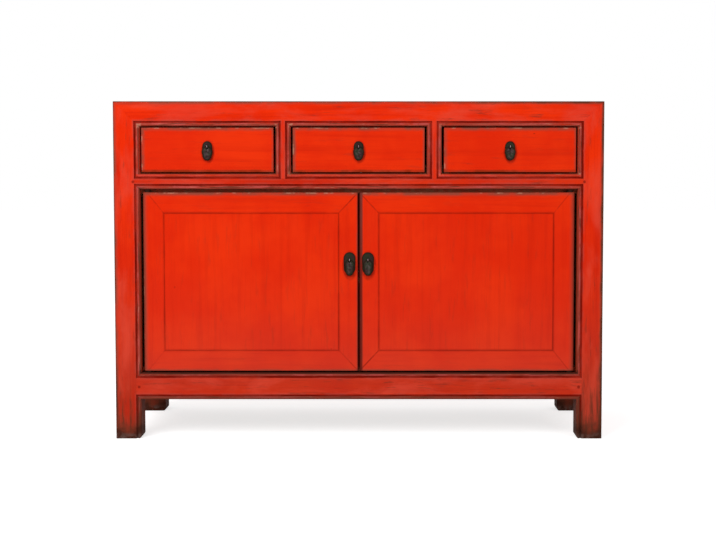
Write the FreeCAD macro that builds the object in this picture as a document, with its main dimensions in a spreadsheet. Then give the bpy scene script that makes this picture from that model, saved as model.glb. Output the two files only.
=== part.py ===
"""Red lacquer sideboard: a post-and-rail case with three drawers over a pair of pivot doors.

X runs to the right, Y to the back and Z up. The floor is at Z = 0 and the case is centred on X and Y.
"""
import FreeCAD, Part
import math
import os
import re
import Sketcher

# Driving sizes in millimetres
SIZES = {
    # case
    "width": 1270,
    "depth": 400,
    "height": 880,
    "post_width": 66,
    "post_depth": 52,
    "leg_height": 103,
    "foot_round": 8,
    "bottom_rail_height": 70,
    "middle_rail_height": 40,
    "drawer_opening_height": 123,
    "top_rail_height": 64,
    "rail_depth": 44,
    "divider_width": 38,
    "divider_depth": 40,
    "rear_rail_depth": 40,
    "rear_middle_rail_depth": 30,
    "side_rail_thickness": 40,
    # bead and quirk along the openings
    "bead_width": 8.5,
    "quirk_width": 4.5,
    # joints of the case
    "shoulder_depth": 14,
    "tenon_thickness": 14,
    "tenon_length": 30,
    "side_tenon_length": 20,
    "tenon_shoulder": 10,
    "corner_tenon": 20,
    "corner_tenon_cover": 14,
    "housing_depth": 8,
    "stop_lip": 12,
    "stop_gap": 0.5,
    # panels of the case
    "groove_depth": 8,
    "panel_gap": 0.7,
    "top_panel_thickness": 14,
    "tongue_thickness": 7,
    "side_panel_thickness": 12,
    "side_panel_inset": 8,
    "back_panel_thickness": 10,
    "back_panel_inset": 6,
    "floor_thickness": 14,
    "post_clearance": 0.5,
    "batten_width": 40,
    "batten_height": 28,
    "batten_pitch": 290,
    "dovetail_depth": 4,
    "dovetail_flare": 3,
    # shelf
    "shelf_height": 404,
    "shelf_thickness": 16,
    "shelf_gap": 3,
    "shelf_door_gap": 8,
    "bearer_width": 40,
    "bearer_height": 20,
    "bearer_tenon": 10,
    # doors
    "set_back": 2.5,
    "door_thickness": 24,
    "door_side_gap": 7.5,
    "door_top_gap": 9,
    "door_bottom_gap": 6,
    "meeting_gap": 4,
    "hinge_stile_width": 55,
    "meeting_stile_width": 50,
    "door_rail_width": 53,
    "mitre_depth": 9,
    "door_tenon_thickness": 8,
    "door_tenon_length": 30,
    "door_panel_thickness": 12,
    "door_panel_set_back": 0.4,
    "door_tongue_thickness": 6,
    "door_batten_width": 34,
    "door_batten_thickness": 10,
    "door_batten_spread": 95,
    "pivot_radius": 8,
    "pivot_clearance": 0.3,
    "top_pivot_length": 18,
    "bottom_pivot_length": 12,
    "lift_room": 7,
    # drawers
    "drawer_gap": 4,
    "drawer_side_gap": 6.5,
    "drawer_front_thickness": 20,
    "drawer_side_thickness": 12,
    "drawer_side_height": 96,
    "drawer_back_thickness": 12,
    "drawer_back_drop": 6,
    "drawer_bottom_thickness": 7,
    "drawer_bottom_rise": 8,
    "drawer_groove": 6,
    "drawer_stop_gap": 1,
    "lap_thickness": 8,
    "tail_width": 18,
    "tail_flare": 3,
    "runner_height": 30,
    "runner_clearance": 0.3,
    "runner_bearing": 14,
    "guide_clearance": 0.5,
    "guide_height": 18,
    "guide_strip": 16,
    # pulls
    "plate_thickness": 1.6,
    "eye_radius": 4,
    "wire_width": 2.2,
    "eye_standoff": 4,
    "eye_clearance": 0.3,
    "shank_width": 3,
    "shank_clearance": 0.2,
    "clinch_length": 12,
    "clinch_thickness": 1,
    "drop_thickness": 2.4,
    "drop_hole_radius": 2.2,
    "drop_rim": 2.2,
    "drawer_pull_rise": 9,
    "drawer_plate_width": 25,
    "drawer_plate_height": 30,
    "drawer_plate_top": 13.5,
    "drawer_plate_low_radius": 12,
    "drawer_drop_length": 38,
    "drawer_drop_top_radius": 14.8,
    "drawer_drop_low_radius": 12,
    "door_pull_inset": 22,
    "door_pull_rise": 58,
    "door_plate_width": 31,
    "door_plate_height": 57.5,
    "door_plate_top": 19.5,
    "door_plate_low_radius": 15,
    "door_drop_length": 46,
    "door_drop_top_radius": 12.5,
    "door_drop_low_radius": 11,
}

# Places worked out from the driving sizes
PLACES = {
    "half": "width / 2",
    "inner": "half - post_width",
    "eye_outer": "eye_radius + wire_width / 2",
    "eye_inner": "eye_radius - wire_width / 2",
    "pull_reach": "eye_standoff + eye_outer - set_back",
    "front": "-(depth - pull_reach) / 2",
    "back": "front + depth",
    "centre_y": "(front + back) / 2",
    "front_post_back": "front + post_depth",
    "rear_post_front": "back - post_depth",
    "front_rail_back": "front + rail_depth",
    "rear_rail_front": "back - rear_rail_depth",
    "bead_radius": "bead_width / 2",
    "bead_zone": "bead_width + quirk_width",
    "door_sill": "leg_height + bottom_rail_height",
    "top_under": "height - top_rail_height",
    "drawer_sill": "top_under - drawer_opening_height",
    "door_head": "drawer_sill - middle_rail_height",
    "tenon_front": "front + shoulder_depth",
    "tenon_back": "tenon_front + tenon_thickness",
    "face": "front + set_back",
    "stop_front": "face + door_thickness + stop_gap",
    "drawer_width": "(2 * inner - 2 * divider_width) / 3",
    "drawer_pitch": "drawer_width + divider_width",
    "divider_place": "drawer_pitch / 2",
    "side_rail_inner": "half - side_rail_thickness",
    "panel_outer": "half - side_panel_inset",
    "panel_inner": "panel_outer - side_panel_thickness",
    "back_panel_rear": "back - back_panel_inset",
    "back_panel_front": "back_panel_rear - back_panel_thickness",
    "rear_middle_front": "back_panel_front - rear_middle_rail_depth",
    "side_tenon_outer": "half - tenon_shoulder",
    "side_tenon_inner": "side_tenon_outer - tenon_thickness",
    "top_panel_under": "height - top_panel_thickness",
    "floor_under": "door_sill - floor_thickness",
    "runner_top": "drawer_bottom - runner_clearance",
    "runner_under": "runner_top - runner_height",
    "drawer_half": "drawer_width / 2 - drawer_side_gap",
    "drawer_bottom": "drawer_sill + drawer_gap",
    "drawer_top": "top_under - drawer_gap",
    "drawer_front_back": "face + drawer_front_thickness",
    "drawer_rear": "back_panel_front - drawer_stop_gap",
    "drawer_side_top": "drawer_bottom + drawer_side_height",
    "drawer_floor": "drawer_bottom + drawer_bottom_rise",
    "drawer_floor_top": "drawer_floor + drawer_bottom_thickness",
    "door_back": "face + door_thickness",
    "door_outer": "-inner + door_side_gap",
    "door_meet": "-meeting_gap / 2",
    "door_low": "door_sill + door_bottom_gap",
    "door_high": "door_head - door_top_gap",
    "door_middle": "(door_low + door_high) / 2",
    "pivot_x": "door_outer + door_thickness / 2",
    "pivot_y": "face + door_thickness / 2",
    "hinge_inner": "door_outer + hinge_stile_width",
    "meet_inner": "door_meet - meeting_stile_width",
    "low_rail_inner": "door_low + door_rail_width",
    "high_rail_inner": "door_high - door_rail_width",
    "door_panel_back": "face + door_panel_thickness",
    "door_tongue_front": "door_panel_back - door_tongue_thickness",
    "drawer_pull_z": "(drawer_bottom + drawer_top) / 2 + drawer_pull_rise",
    "door_pull_z": "door_middle + door_pull_rise",
    "eye_half_width": "wire_width / 2 + eye_clearance",
}

CLEAR = 1  # how far a cutter stands past the face that it cuts, where nothing else is met
TAILS = 3  # dovetails at each front corner of a drawer
EYE_SIDES = 12  # facets round the eye of a pull
UNIT = {"x": FreeCAD.Vector(1, 0, 0), "y": FreeCAD.Vector(0, 1, 0), "z": FreeCAD.Vector(0, 0, 1)}
TAPER_CROSS = {"x": ("z", "y"), "y": ("x", "z"), "z": ("y", "x")}  # the two axes across each taper

doc = FreeCAD.newDocument("sideboard")
sheet = doc.addObject("Spreadsheet::Sheet", "dims")
for row, (alias, size) in enumerate(SIZES.items(), start=1):
    sheet.set(f"A{row}", str(size))
    sheet.setAlias(f"A{row}", alias)
doc.recompute()

gauge = doc.addObject("Part::Vertex", "gauge")
nodes = []


def formula(text):
    """Writes a formula of sizes and places out in terms of the sheet's cells."""

    def written_out(match):
        word = match.group(0)
        if word in PLACES:
            return f"({formula(PLACES[word])})"
        return f"dims.{word}" if word in SIZES else word

    return re.sub(r"[a-z_]+", written_out, text)


def bind(item, path, text):
    item.setExpression(path, formula(text))


def node(item, name):
    """Makes an object one of the named pieces."""
    item.Label = name
    nodes.append(item)
    return item


def block(name, x, y, z):
    """Board between a low and a high face along each axis."""
    item = doc.addObject("Part::Box", name)
    for axis, size, (low, high) in zip("xyz", ("Length", "Width", "Height"), (x, y, z)):
        bind(item, size, f"({high}) - ({low})")
        bind(item, f"Placement.Base.{axis}", low)
    return item


def taper(name, axis, start, end):
    """Block that narrows along an axis: start and end each give a place on it and two cross ranges."""
    item = doc.addObject("Part::Wedge", name)
    first, second = TAPER_CROSS[axis]
    item.Placement.Rotation = FreeCAD.Rotation(UNIT[first], UNIT[axis], UNIT[second], "YXZ")
    bind(item, "Ymin", start[axis])
    bind(item, "Ymax", end[axis])
    for prefix, across in (("X", first), ("Z", second)):
        for mark, face in (("", start), ("2", end)):
            bind(item, f"{prefix}{mark}min", face[across][0])
            bind(item, f"{prefix}{mark}max", face[across][1])
    return item


def rod(name, axis, places, span, radius):
    """Round bar along Y or Z. places gives the two other coordinates of its centre line."""
    item = doc.addObject("Part::Cylinder", name)
    if axis == "y":
        item.Placement.Rotation = FreeCAD.Rotation(UNIT["x"], -90)
    bind(item, "Radius", radius)
    bind(item, "Height", f"({span[1]}) - ({span[0]})")
    bind(item, f"Placement.Base.{axis}", span[0])
    for across, place in places.items():
        bind(item, f"Placement.Base.{across}", place)
    return item


def eye_disc(name, places, span, radius):
    """Many-sided disc across X, from which an eye is bent up. places gives the Y and the Z of its centre."""
    item = doc.addObject("Part::Prism", name)
    item.Polygon = EYE_SIDES
    item.Placement.Rotation = FreeCAD.Rotation(UNIT["y"], 90)
    bind(item, "Circumradius", radius)
    bind(item, "Height", f"({span[1]}) - ({span[0]})")
    bind(item, "Placement.Base.x", span[0])
    for across, place in places.items():
        bind(item, f"Placement.Base.{across}", place)
    return item


def fuse(name, *items):
    item = doc.addObject("Part::MultiFuse", name)
    item.Shapes = list(items)
    item.Refine = True
    return item


def cut(name, base, *tools):
    item = doc.addObject("Part::Cut", name)
    item.Base = base
    item.Tool = tools[0] if len(tools) == 1 else fuse(f"{name}_cutter", *tools)
    item.Refine = True
    return item


def common(name, base, envelope):
    item = doc.addObject("Part::Common", name)
    item.Base = base
    item.Tool = envelope
    item.Refine = True
    return item


def group(name, *items):
    item = doc.addObject("Part::Compound", name)
    item.Links = list(items)
    return item


def mirror(name, source, axis="x"):
    """Copy on the other side of the case, left to right or front to back."""
    item = doc.addObject("Part::Mirroring", name)
    item.Source = source
    item.Normal = UNIT[axis]
    if axis == "y":
        bind(item, "Base.y", "centre_y")
    return item


def half_round(name, run, span, across):
    """Bead whose flat side lies against the back of the quirk, along X or Z."""
    item = doc.addObject("Part::Cylinder", name)
    item.Angle = 180
    forward = FreeCAD.Vector(0, -1, 0)
    along = UNIT[run]
    item.Placement.Rotation = FreeCAD.Rotation(forward.cross(along), forward, along, "ZYX")
    bind(item, "Radius", "bead_radius")
    bind(item, "Height", f"({span[1]}) - ({span[0]})")
    bind(item, "Placement.Base.y", "front + bead_radius")
    bind(item, f"Placement.Base.{run}", span[0])
    bind(item, "Placement.Base." + ("z" if run == "x" else "x"), across)
    return item


def moulded(name, run, x, y, z, beads):
    """Front member with a bead and a quirk along its low edge, its high edge or both."""
    across = "z" if run == "x" else "x"
    faces = {"x": x, "y": y, "z": z}
    low, high = faces[across]
    zones = {
        "low": ((f"({low}) - {CLEAR}", f"({low}) + bead_zone"), f"({low}) + bead_radius"),
        "high": ((f"({high}) - bead_zone", f"({high}) + {CLEAR}"), f"({high}) - bead_radius"),
    }
    notches = []
    rounds = []
    for edge in beads:
        zone, centre = zones[edge]
        room = {**faces, "y": (f"front - {CLEAR}", "front + bead_radius"), across: zone}
        notches.append(block(f"{name}_{edge}_notch", room["x"], room["y"], room["z"]))
        rounds.append(half_round(f"{name}_{edge}_bead", run, faces[run], centre))
    board = cut(f"{name}_quirked", block(f"{name}_board", x, y, z), *notches)
    return fuse(f"{name}_moulded", board, *rounds)


def shoulder_key(name, axis, low, high, wide, narrow_end):
    """Mitred front shoulder of a member that ends against another.

    It runs from low to high along the axis, as wide as the member at one end and narrower by the bead
    on both sides at the end that narrow_end names.
    """
    across = "z" if axis == "x" else "x"
    narrow = (f"({wide[0]}) + bead_zone", f"({wide[1]}) - bead_zone")
    layer = (f"front - {CLEAR}", "tenon_front")
    first, last = (narrow, wide) if narrow_end == "low" else (wide, narrow)
    return taper(name, axis, {axis: low, across: first, "y": layer}, {axis: high, across: last, "y": layer})


def upper_frame_cuts():
    """Prisms that mitre the top frame at its front corners, against the posts and the side rails."""
    layer = (f"front - {CLEAR}", f"front_post_back + {CLEAR}")
    band = (f"top_under - {CLEAR}", f"height + {CLEAR}")
    corner = ("-half", "-inner")
    post_left = taper(
        "corner_post_left",
        "z",
        {"z": "top_under", "x": corner, "y": layer},
        {"z": "height", "x": ("-half", "-half"), "y": layer},
    )
    side_left = taper(
        "corner_side_left",
        "x",
        {"x": "-half", "y": ("front", "front_post_back"), "z": band},
        {"x": "-inner", "y": ("front_post_back", "front_post_back"), "z": band},
    )
    post_right = mirror("corner_post_right", post_left)
    side_right = mirror("corner_side_right", side_left)
    return post_left, side_left, post_right, side_right


def side_frame_cuts():
    """Prisms that mitre a side top rail against the front and the rear post."""
    band = (f"-half - {CLEAR}", f"-inner + {CLEAR}")
    front_cut = taper(
        "side_rail_front_cut",
        "z",
        {"z": "top_under", "y": ("front", "front_post_back"), "x": band},
        {"z": "height", "y": ("front", "front"), "x": band},
    )
    rear_cut = taper(
        "side_rail_rear_cut",
        "z",
        {"z": "top_under", "y": ("rear_post_front", "back"), "x": band},
        {"z": "height", "y": ("back", "back"), "x": band},
    )
    return front_cut, rear_cut


def corner_tenon(name, x_low, y_low):
    """Hidden tenon on top of a post, where three members meet."""
    x = f"{x_low} + (post_width - corner_tenon) / 2"
    y = f"{y_low} + (post_depth - corner_tenon) / 2"
    return block(
        name,
        (x, f"{x} + corner_tenon"),
        (y, f"{y} + corner_tenon"),
        ("top_under", "height - corner_tenon_cover"),
    )


def rail_tenons(name, y, z):
    """Left and right tenons of a rail between two posts."""
    left = block(f"{name}_left_tenon", ("-inner - tenon_length", "-inner"), y, z)
    return left, mirror(f"{name}_right_tenon", left)


def battens(name, under, length, ends):
    """Three cross battens with dovetailed tops, and the grooves that they fill."""
    boards = []
    keys = []
    for mark, place in (("left", "-batten_pitch"), ("middle", "0"), ("right", "batten_pitch")):
        low, high = f"{place} - batten_width / 2", f"{place} + batten_width / 2"
        board = block(f"{name}_{mark}_board", (low, high), ends, (f"{under} - batten_height", under))
        key = taper(
            f"{name}_{mark}_key",
            "z",
            {"z": under, "x": (low, high), "y": length},
            {
                "z": f"{under} + dovetail_depth",
                "x": (f"{low} - dovetail_flare", f"{high} + dovetail_flare"),
                "y": length,
            },
        )
        boards.append(fuse(f"{name}_{mark}", board, key))
        keys.append(key)
    return boards, keys


def case():
    """Posts, rails, dividers, panels, runners and shelf, all fixed to each other."""
    post_x = ("-half", "-inner")
    front_y = ("front", "front_post_back")
    rear_y = ("rear_post_front", "back")
    top_z = ("top_under", "height")
    full_x = ("-half", "half")

    # top frame, mitred at its four corners
    corner_cuts = upper_frame_cuts()
    front_envelope = cut("front_top_envelope", block("front_top_block", full_x, front_y, top_z), *corner_cuts)
    rear_envelope = mirror("rear_top_envelope", front_envelope, "y")
    side_block = block("side_top_block", post_x, ("front", "back"), top_z)
    side_envelope = cut("side_top_envelope", side_block, *side_frame_cuts(), front_envelope, rear_envelope)
    front_tenon = corner_tenon("front_corner_tenon", "-half", "front")
    rear_tenon = corner_tenon("rear_corner_tenon", "-half", "rear_post_front")
    front_tenons = (front_tenon, mirror("front_corner_tenon_right", front_tenon))
    rear_tenons = (rear_tenon, mirror("rear_corner_tenon_right", rear_tenon))

    # top panel, flush in the frame, with its tongue in a groove all round and battens under it
    tongue_x = ("-inner - groove_depth", "inner + groove_depth")
    tongue_y = ("front_post_back - groove_depth", "rear_post_front + groove_depth")
    tongue_z = ("top_panel_under", "top_panel_under + tongue_thickness")
    top_tongue = block("top_tongue", tongue_x, tongue_y, tongue_z)
    top_field = block(
        "top_field",
        ("-inner + panel_gap", "inner - panel_gap"),
        ("front_post_back + panel_gap", "rear_post_front - panel_gap"),
        ("top_panel_under", "height"),
    )
    batten_ends = ("front_post_back - housing_depth", "rear_post_front + housing_depth")
    top_boards, top_keys = battens(
        "top_batten", "top_panel_under", ("front_post_back", "rear_post_front"), batten_ends
    )
    node(cut("top_panel", fuse("top_panel_board", top_tongue, top_field), *top_keys), "top_panel")
    top_battens = node(group("top_battens", *top_boards), "top_battens")

    # dividers between the drawers
    wide = ("-divider_place - divider_width / 2", "-divider_place + divider_width / 2")
    divider_y = ("front", "front + divider_depth")
    blank = moulded(
        "divider", "z", wide, divider_y, ("drawer_sill - bead_zone", "top_under + bead_zone"), ("low", "high")
    )
    high_key = shoulder_key("divider_high_key", "z", "top_under", "top_under + bead_zone", wide, "high")
    low_key = shoulder_key("divider_low_key", "z", "drawer_sill - bead_zone", "drawer_sill", wide, "low")
    core = block(
        "divider_core",
        (f"{wide[0]} - {CLEAR}", f"{wide[1]} + {CLEAR}"),
        (f"front - {CLEAR}", f"front + divider_depth + {CLEAR}"),
        ("drawer_sill", "top_under"),
    )
    divider_tenon_x = ("-divider_place - tenon_thickness / 2", "-divider_place + tenon_thickness / 2")
    divider_tenon = block(
        "divider_tenon",
        divider_tenon_x,
        ("tenon_front", "tenon_back"),
        ("drawer_sill - tenon_length / 2", "top_under + tenon_length"),
    )
    shaped = common("divider_shaped", blank, fuse("divider_envelope", core, high_key, low_key))
    tenoned_divider = fuse("tenoned_divider", shaped, divider_tenon)
    divider_joints = [high_key, low_key, divider_tenon]
    divider_joints += [mirror(f"{item.Name}_right", item) for item in divider_joints]

    # drawer runners, housed in the middle rails
    runner_y = ("front_rail_back - housing_depth", "rear_middle_front + housing_depth")
    runner_z = ("runner_under", "runner_top")
    post_gap_y = ("front_post_back", "rear_post_front")
    rib_z = ("runner_under", "runner_top + guide_height")
    side_face = "-drawer_pitch - drawer_half"
    side_base_x = ("-inner", f"{side_face} + runner_bearing")
    side_rib_x = ("-inner - guide_strip", f"{side_face} - guide_clearance")
    side_runner = fuse(
        "left_runner",
        block("left_runner_base", side_base_x, runner_y, runner_z),
        block("left_runner_rib", side_rib_x, post_gap_y, rib_z),
    )
    near_face = "-drawer_pitch + drawer_half"
    far_face = "-drawer_half"
    inner_base_x = (f"{near_face} - runner_bearing", f"{far_face} + runner_bearing")
    inner_rib_x = (f"{near_face} + guide_clearance", f"{far_face} - guide_clearance")
    inner_rib_y = ("front + divider_depth", "rear_middle_front + housing_depth")
    inner_runner = fuse(
        "inner_left_runner",
        block("inner_runner_base", inner_base_x, runner_y, runner_z),
        block("inner_runner_rib", inner_rib_x, inner_rib_y, rib_z),
    )
    left_divider = cut("left_divider", tenoned_divider, inner_runner)
    node(group("drawer_dividers", left_divider, mirror("right_divider", left_divider)), "drawer_dividers")
    runners = [side_runner, inner_runner]
    runners += [mirror("right_runner", side_runner), mirror("inner_right_runner", inner_runner)]
    runner_group = node(group("drawer_runners", *runners), "drawer_runners")

    # rails across the front, keyed and tenoned into the posts
    rail_y = ("front", "front_rail_back")
    rail_x = ("-inner - bead_zone", "inner + bead_zone")
    rail_rows = {
        "front_middle_rail": ("door_head", "drawer_sill"),
        "front_bottom_rail": ("leg_height", "door_sill"),
    }
    lips = {
        "front_middle_rail": ("door_head - stop_lip", "door_head"),
        "front_bottom_rail": ("door_sill", "door_sill + stop_lip"),
    }
    sockets = {
        "front_middle_rail": ("door_head", "door_head + top_pivot_length + lift_room"),
        "front_bottom_rail": ("door_sill - bottom_pivot_length", "door_sill"),
    }
    floor_parts = floor_panel()
    rail_cuts = {
        "front_middle_rail": [*divider_joints, runner_group],
        "front_bottom_rail": [floor_parts["tongue"], *floor_parts["boards"]],
    }
    front_joints = []
    for name, (low, high) in rail_rows.items():
        left_key = shoulder_key(f"{name}_key", "x", "-inner - bead_zone", "-inner", (low, high), "low")
        right_key = mirror(f"{name}_key_right", left_key)
        span = block(
            f"{name}_core",
            ("-inner", "inner"),
            (f"front - {CLEAR}", f"front_rail_back + {CLEAR}"),
            (f"{low} - {CLEAR}", f"{high} + {CLEAR}"),
        )
        envelope = fuse(f"{name}_envelope", span, left_key, right_key)
        shaped = common(
            f"{name}_shaped", moulded(name, "x", rail_x, rail_y, (low, high), ("low", "high")), envelope
        )
        tenons = rail_tenons(
            name, ("tenon_front", "tenon_back"), (f"{low} + tenon_shoulder", f"{high} - tenon_shoulder")
        )
        lip = block(f"{name}_lip", ("-inner", "inner"), ("stop_front", "front_rail_back"), lips[name])
        socket = rod(
            f"{name}_socket",
            "z",
            {"x": "pivot_x", "y": "pivot_y"},
            sockets[name],
            "pivot_radius + pivot_clearance",
        )
        whole = fuse(f"{name}_whole", shaped, *tenons, lip)
        holes = [socket, mirror(f"{name}_socket_right", socket)]
        node(cut(name, whole, *holes, *rail_cuts[name]), name)
        front_joints += [left_key, tenons[0]]

    # top rails
    top_blank = moulded("front_top_rail", "x", full_x, front_y, top_z, ("low",))
    groove = [top_tongue, top_battens]
    top_joints = [*corner_cuts, *front_tenons, *groove, *divider_joints]
    node(cut("front_top_rail", top_blank, *top_joints), "front_top_rail")
    back_panel_board = block(
        "back_panel",
        ("-inner - groove_depth", "inner + groove_depth"),
        ("back_panel_front", "back_panel_rear"),
        ("door_sill - groove_depth", "top_under + groove_depth"),
    )
    node(back_panel_board, "back_panel")
    node(cut("rear_top_rail", rear_envelope, *rear_tenons, *groove, back_panel_board), "rear_top_rail")
    side_panel = block(
        "left_side_panel",
        ("-panel_outer", "-panel_inner"),
        ("front_post_back - groove_depth", "rear_post_front + groove_depth"),
        ("door_sill - groove_depth", "top_under + groove_depth"),
    )
    node(side_panel, "left_side_panel")
    node(mirror("right_side_panel", side_panel), "right_side_panel")
    side_top = cut("left_top_rail", side_envelope, front_tenon, rear_tenon, top_tongue, side_panel)
    node(group("side_top_rails", side_top, mirror("right_top_rail", side_top)), "side_top_rails")

    # lower rails at the sides and the back
    side_tenon = block(
        "side_rail_tenon",
        ("-side_tenon_outer", "-side_tenon_inner"),
        ("front_post_back - side_tenon_length", "rear_post_front + side_tenon_length"),
        ("leg_height + tenon_shoulder", "door_sill - tenon_shoulder"),
    )
    low_z = ("leg_height", "door_sill")
    side_board = block("left_bottom_board", ("-half", "-side_rail_inner"), post_gap_y, low_z)
    side_whole = fuse("left_bottom_whole", side_board, side_tenon)
    left_bottom = cut("left_bottom_rail", side_whole, side_panel, floor_parts["tongue"])
    right_bottom = mirror("right_bottom_rail", left_bottom)
    node(group("side_bottom_rails", left_bottom, right_bottom), "side_bottom_rails")
    rear_rows = {
        "rear_middle_rail": (("rear_middle_front", "back_panel_front"), ("door_head", "drawer_sill")),
        "rear_bottom_rail": (("rear_rail_front", "back"), ("leg_height", "door_sill")),
    }
    rear_cuts = {
        "rear_middle_rail": [runner_group],
        "rear_bottom_rail": [floor_parts["tongue"], back_panel_board, *floor_parts["boards"]],
    }
    rear_joints = []
    for name, (y, (low, high)) in rear_rows.items():
        middle = f"(({y[0]}) + ({y[1]})) / 2"
        tenon_y = (f"{middle} - tenon_thickness / 2", f"{middle} + tenon_thickness / 2")
        tenons = rail_tenons(name, tenon_y, (f"{low} + tenon_shoulder", f"{high} - tenon_shoulder"))
        board = fuse(f"{name}_whole", block(f"{name}_board", ("-inner", "inner"), y, (low, high)), *tenons)
        node(cut(name, board, *rear_cuts[name]), name)
        rear_joints.append(tenons[0])

    # shelf on two bearers that are tenoned into the posts
    bearer_x = ("-inner - guide_strip", "-inner - guide_strip + bearer_width")
    bearer_z = ("shelf_height - bearer_height", "shelf_height")
    bearer_tenon = block(
        "bearer_tenon",
        (bearer_x[0], "-inner"),
        ("front_post_back - bearer_tenon", "rear_post_front + bearer_tenon"),
        bearer_z,
    )
    bearer = fuse("left_bearer", block("left_bearer_board", bearer_x, post_gap_y, bearer_z), bearer_tenon)
    node(group("shelf_bearers", bearer, mirror("right_bearer", bearer)), "shelf_bearers")
    shelf = block(
        "shelf",
        ("-inner + shelf_gap", "inner - shelf_gap"),
        ("door_back + shelf_door_gap", "back_panel_front - shelf_gap"),
        ("shelf_height", "shelf_height + shelf_thickness"),
    )
    node(shelf, "shelf")

    # posts, cut to their neighbours, with the inner edge of each foot rounded
    foot_y = (f"front - {CLEAR}", f"back + {CLEAR}")
    foot_centre = {"x": "-inner - foot_round", "z": "foot_round"}
    foot_cut = cut(
        "foot_cut",
        block("foot_edge", ("-inner - foot_round", f"-inner + {CLEAR}"), foot_y, (f"-{CLEAR}", "foot_round")),
        rod("foot_rounding", "y", foot_centre, foot_y, "foot_round"),
    )
    side_joints = [side_tenon, side_panel, bearer_tenon, foot_cut]
    front_blank = moulded("front_left_post", "z", post_x, front_y, ("0", "height"), ("high",))
    front_cut = cut(
        "front_left_post_cut", front_blank, front_envelope, side_envelope, *front_joints, *side_joints
    )
    front_post = node(fuse("front_left_post", front_cut, front_tenon), "front_left_post")
    node(mirror("front_right_post", front_post), "front_right_post")
    rear_board = block("rear_left_post_board", post_x, rear_y, ("0", "height"))
    rear_cut = cut(
        "rear_left_post_cut",
        rear_board,
        rear_envelope,
        side_envelope,
        back_panel_board,
        *rear_joints,
        *side_joints,
    )
    rear_post = node(fuse("rear_left_post", rear_cut, rear_tenon), "rear_left_post")
    node(mirror("rear_right_post", rear_post), "rear_right_post")


def floor_panel():
    """Floor of the cupboard, grooved into the lower rails, with battens under it."""
    tongue = block(
        "floor_tongue",
        ("-side_rail_inner - groove_depth", "side_rail_inner + groove_depth"),
        ("front_rail_back - groove_depth", "rear_rail_front + groove_depth"),
        ("floor_under", "floor_under + tongue_thickness"),
    )
    field = block(
        "floor_field",
        ("-side_rail_inner + panel_gap", "side_rail_inner - panel_gap"),
        ("front_rail_back + panel_gap", "rear_rail_front - panel_gap"),
        ("floor_under", "door_sill"),
    )
    corner_z = (f"floor_under - {CLEAR}", f"door_sill + {CLEAR}")
    corner_x = ("-half", "-inner + post_clearance")
    front_y = ("front", "front_post_back + post_clearance")
    rear_y = ("rear_post_front - post_clearance", "back")
    corners = [
        block("floor_front_corner", corner_x, front_y, corner_z),
        block("floor_rear_corner", corner_x, rear_y, corner_z),
    ]
    corners += [mirror(f"{item.Name}_right", item) for item in corners]
    boards, keys = battens(
        "floor_batten",
        "floor_under",
        ("front_rail_back", "rear_rail_front"),
        ("front_rail_back - housing_depth", "rear_rail_front + housing_depth"),
    )
    node(cut("floor_panel", fuse("floor_board", tongue, field), *corners, *keys), "floor_panel")
    node(group("floor_battens", *boards), "floor_battens")
    return {"tongue": cut("floor_groove", tongue, *corners), "boards": boards}


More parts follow.
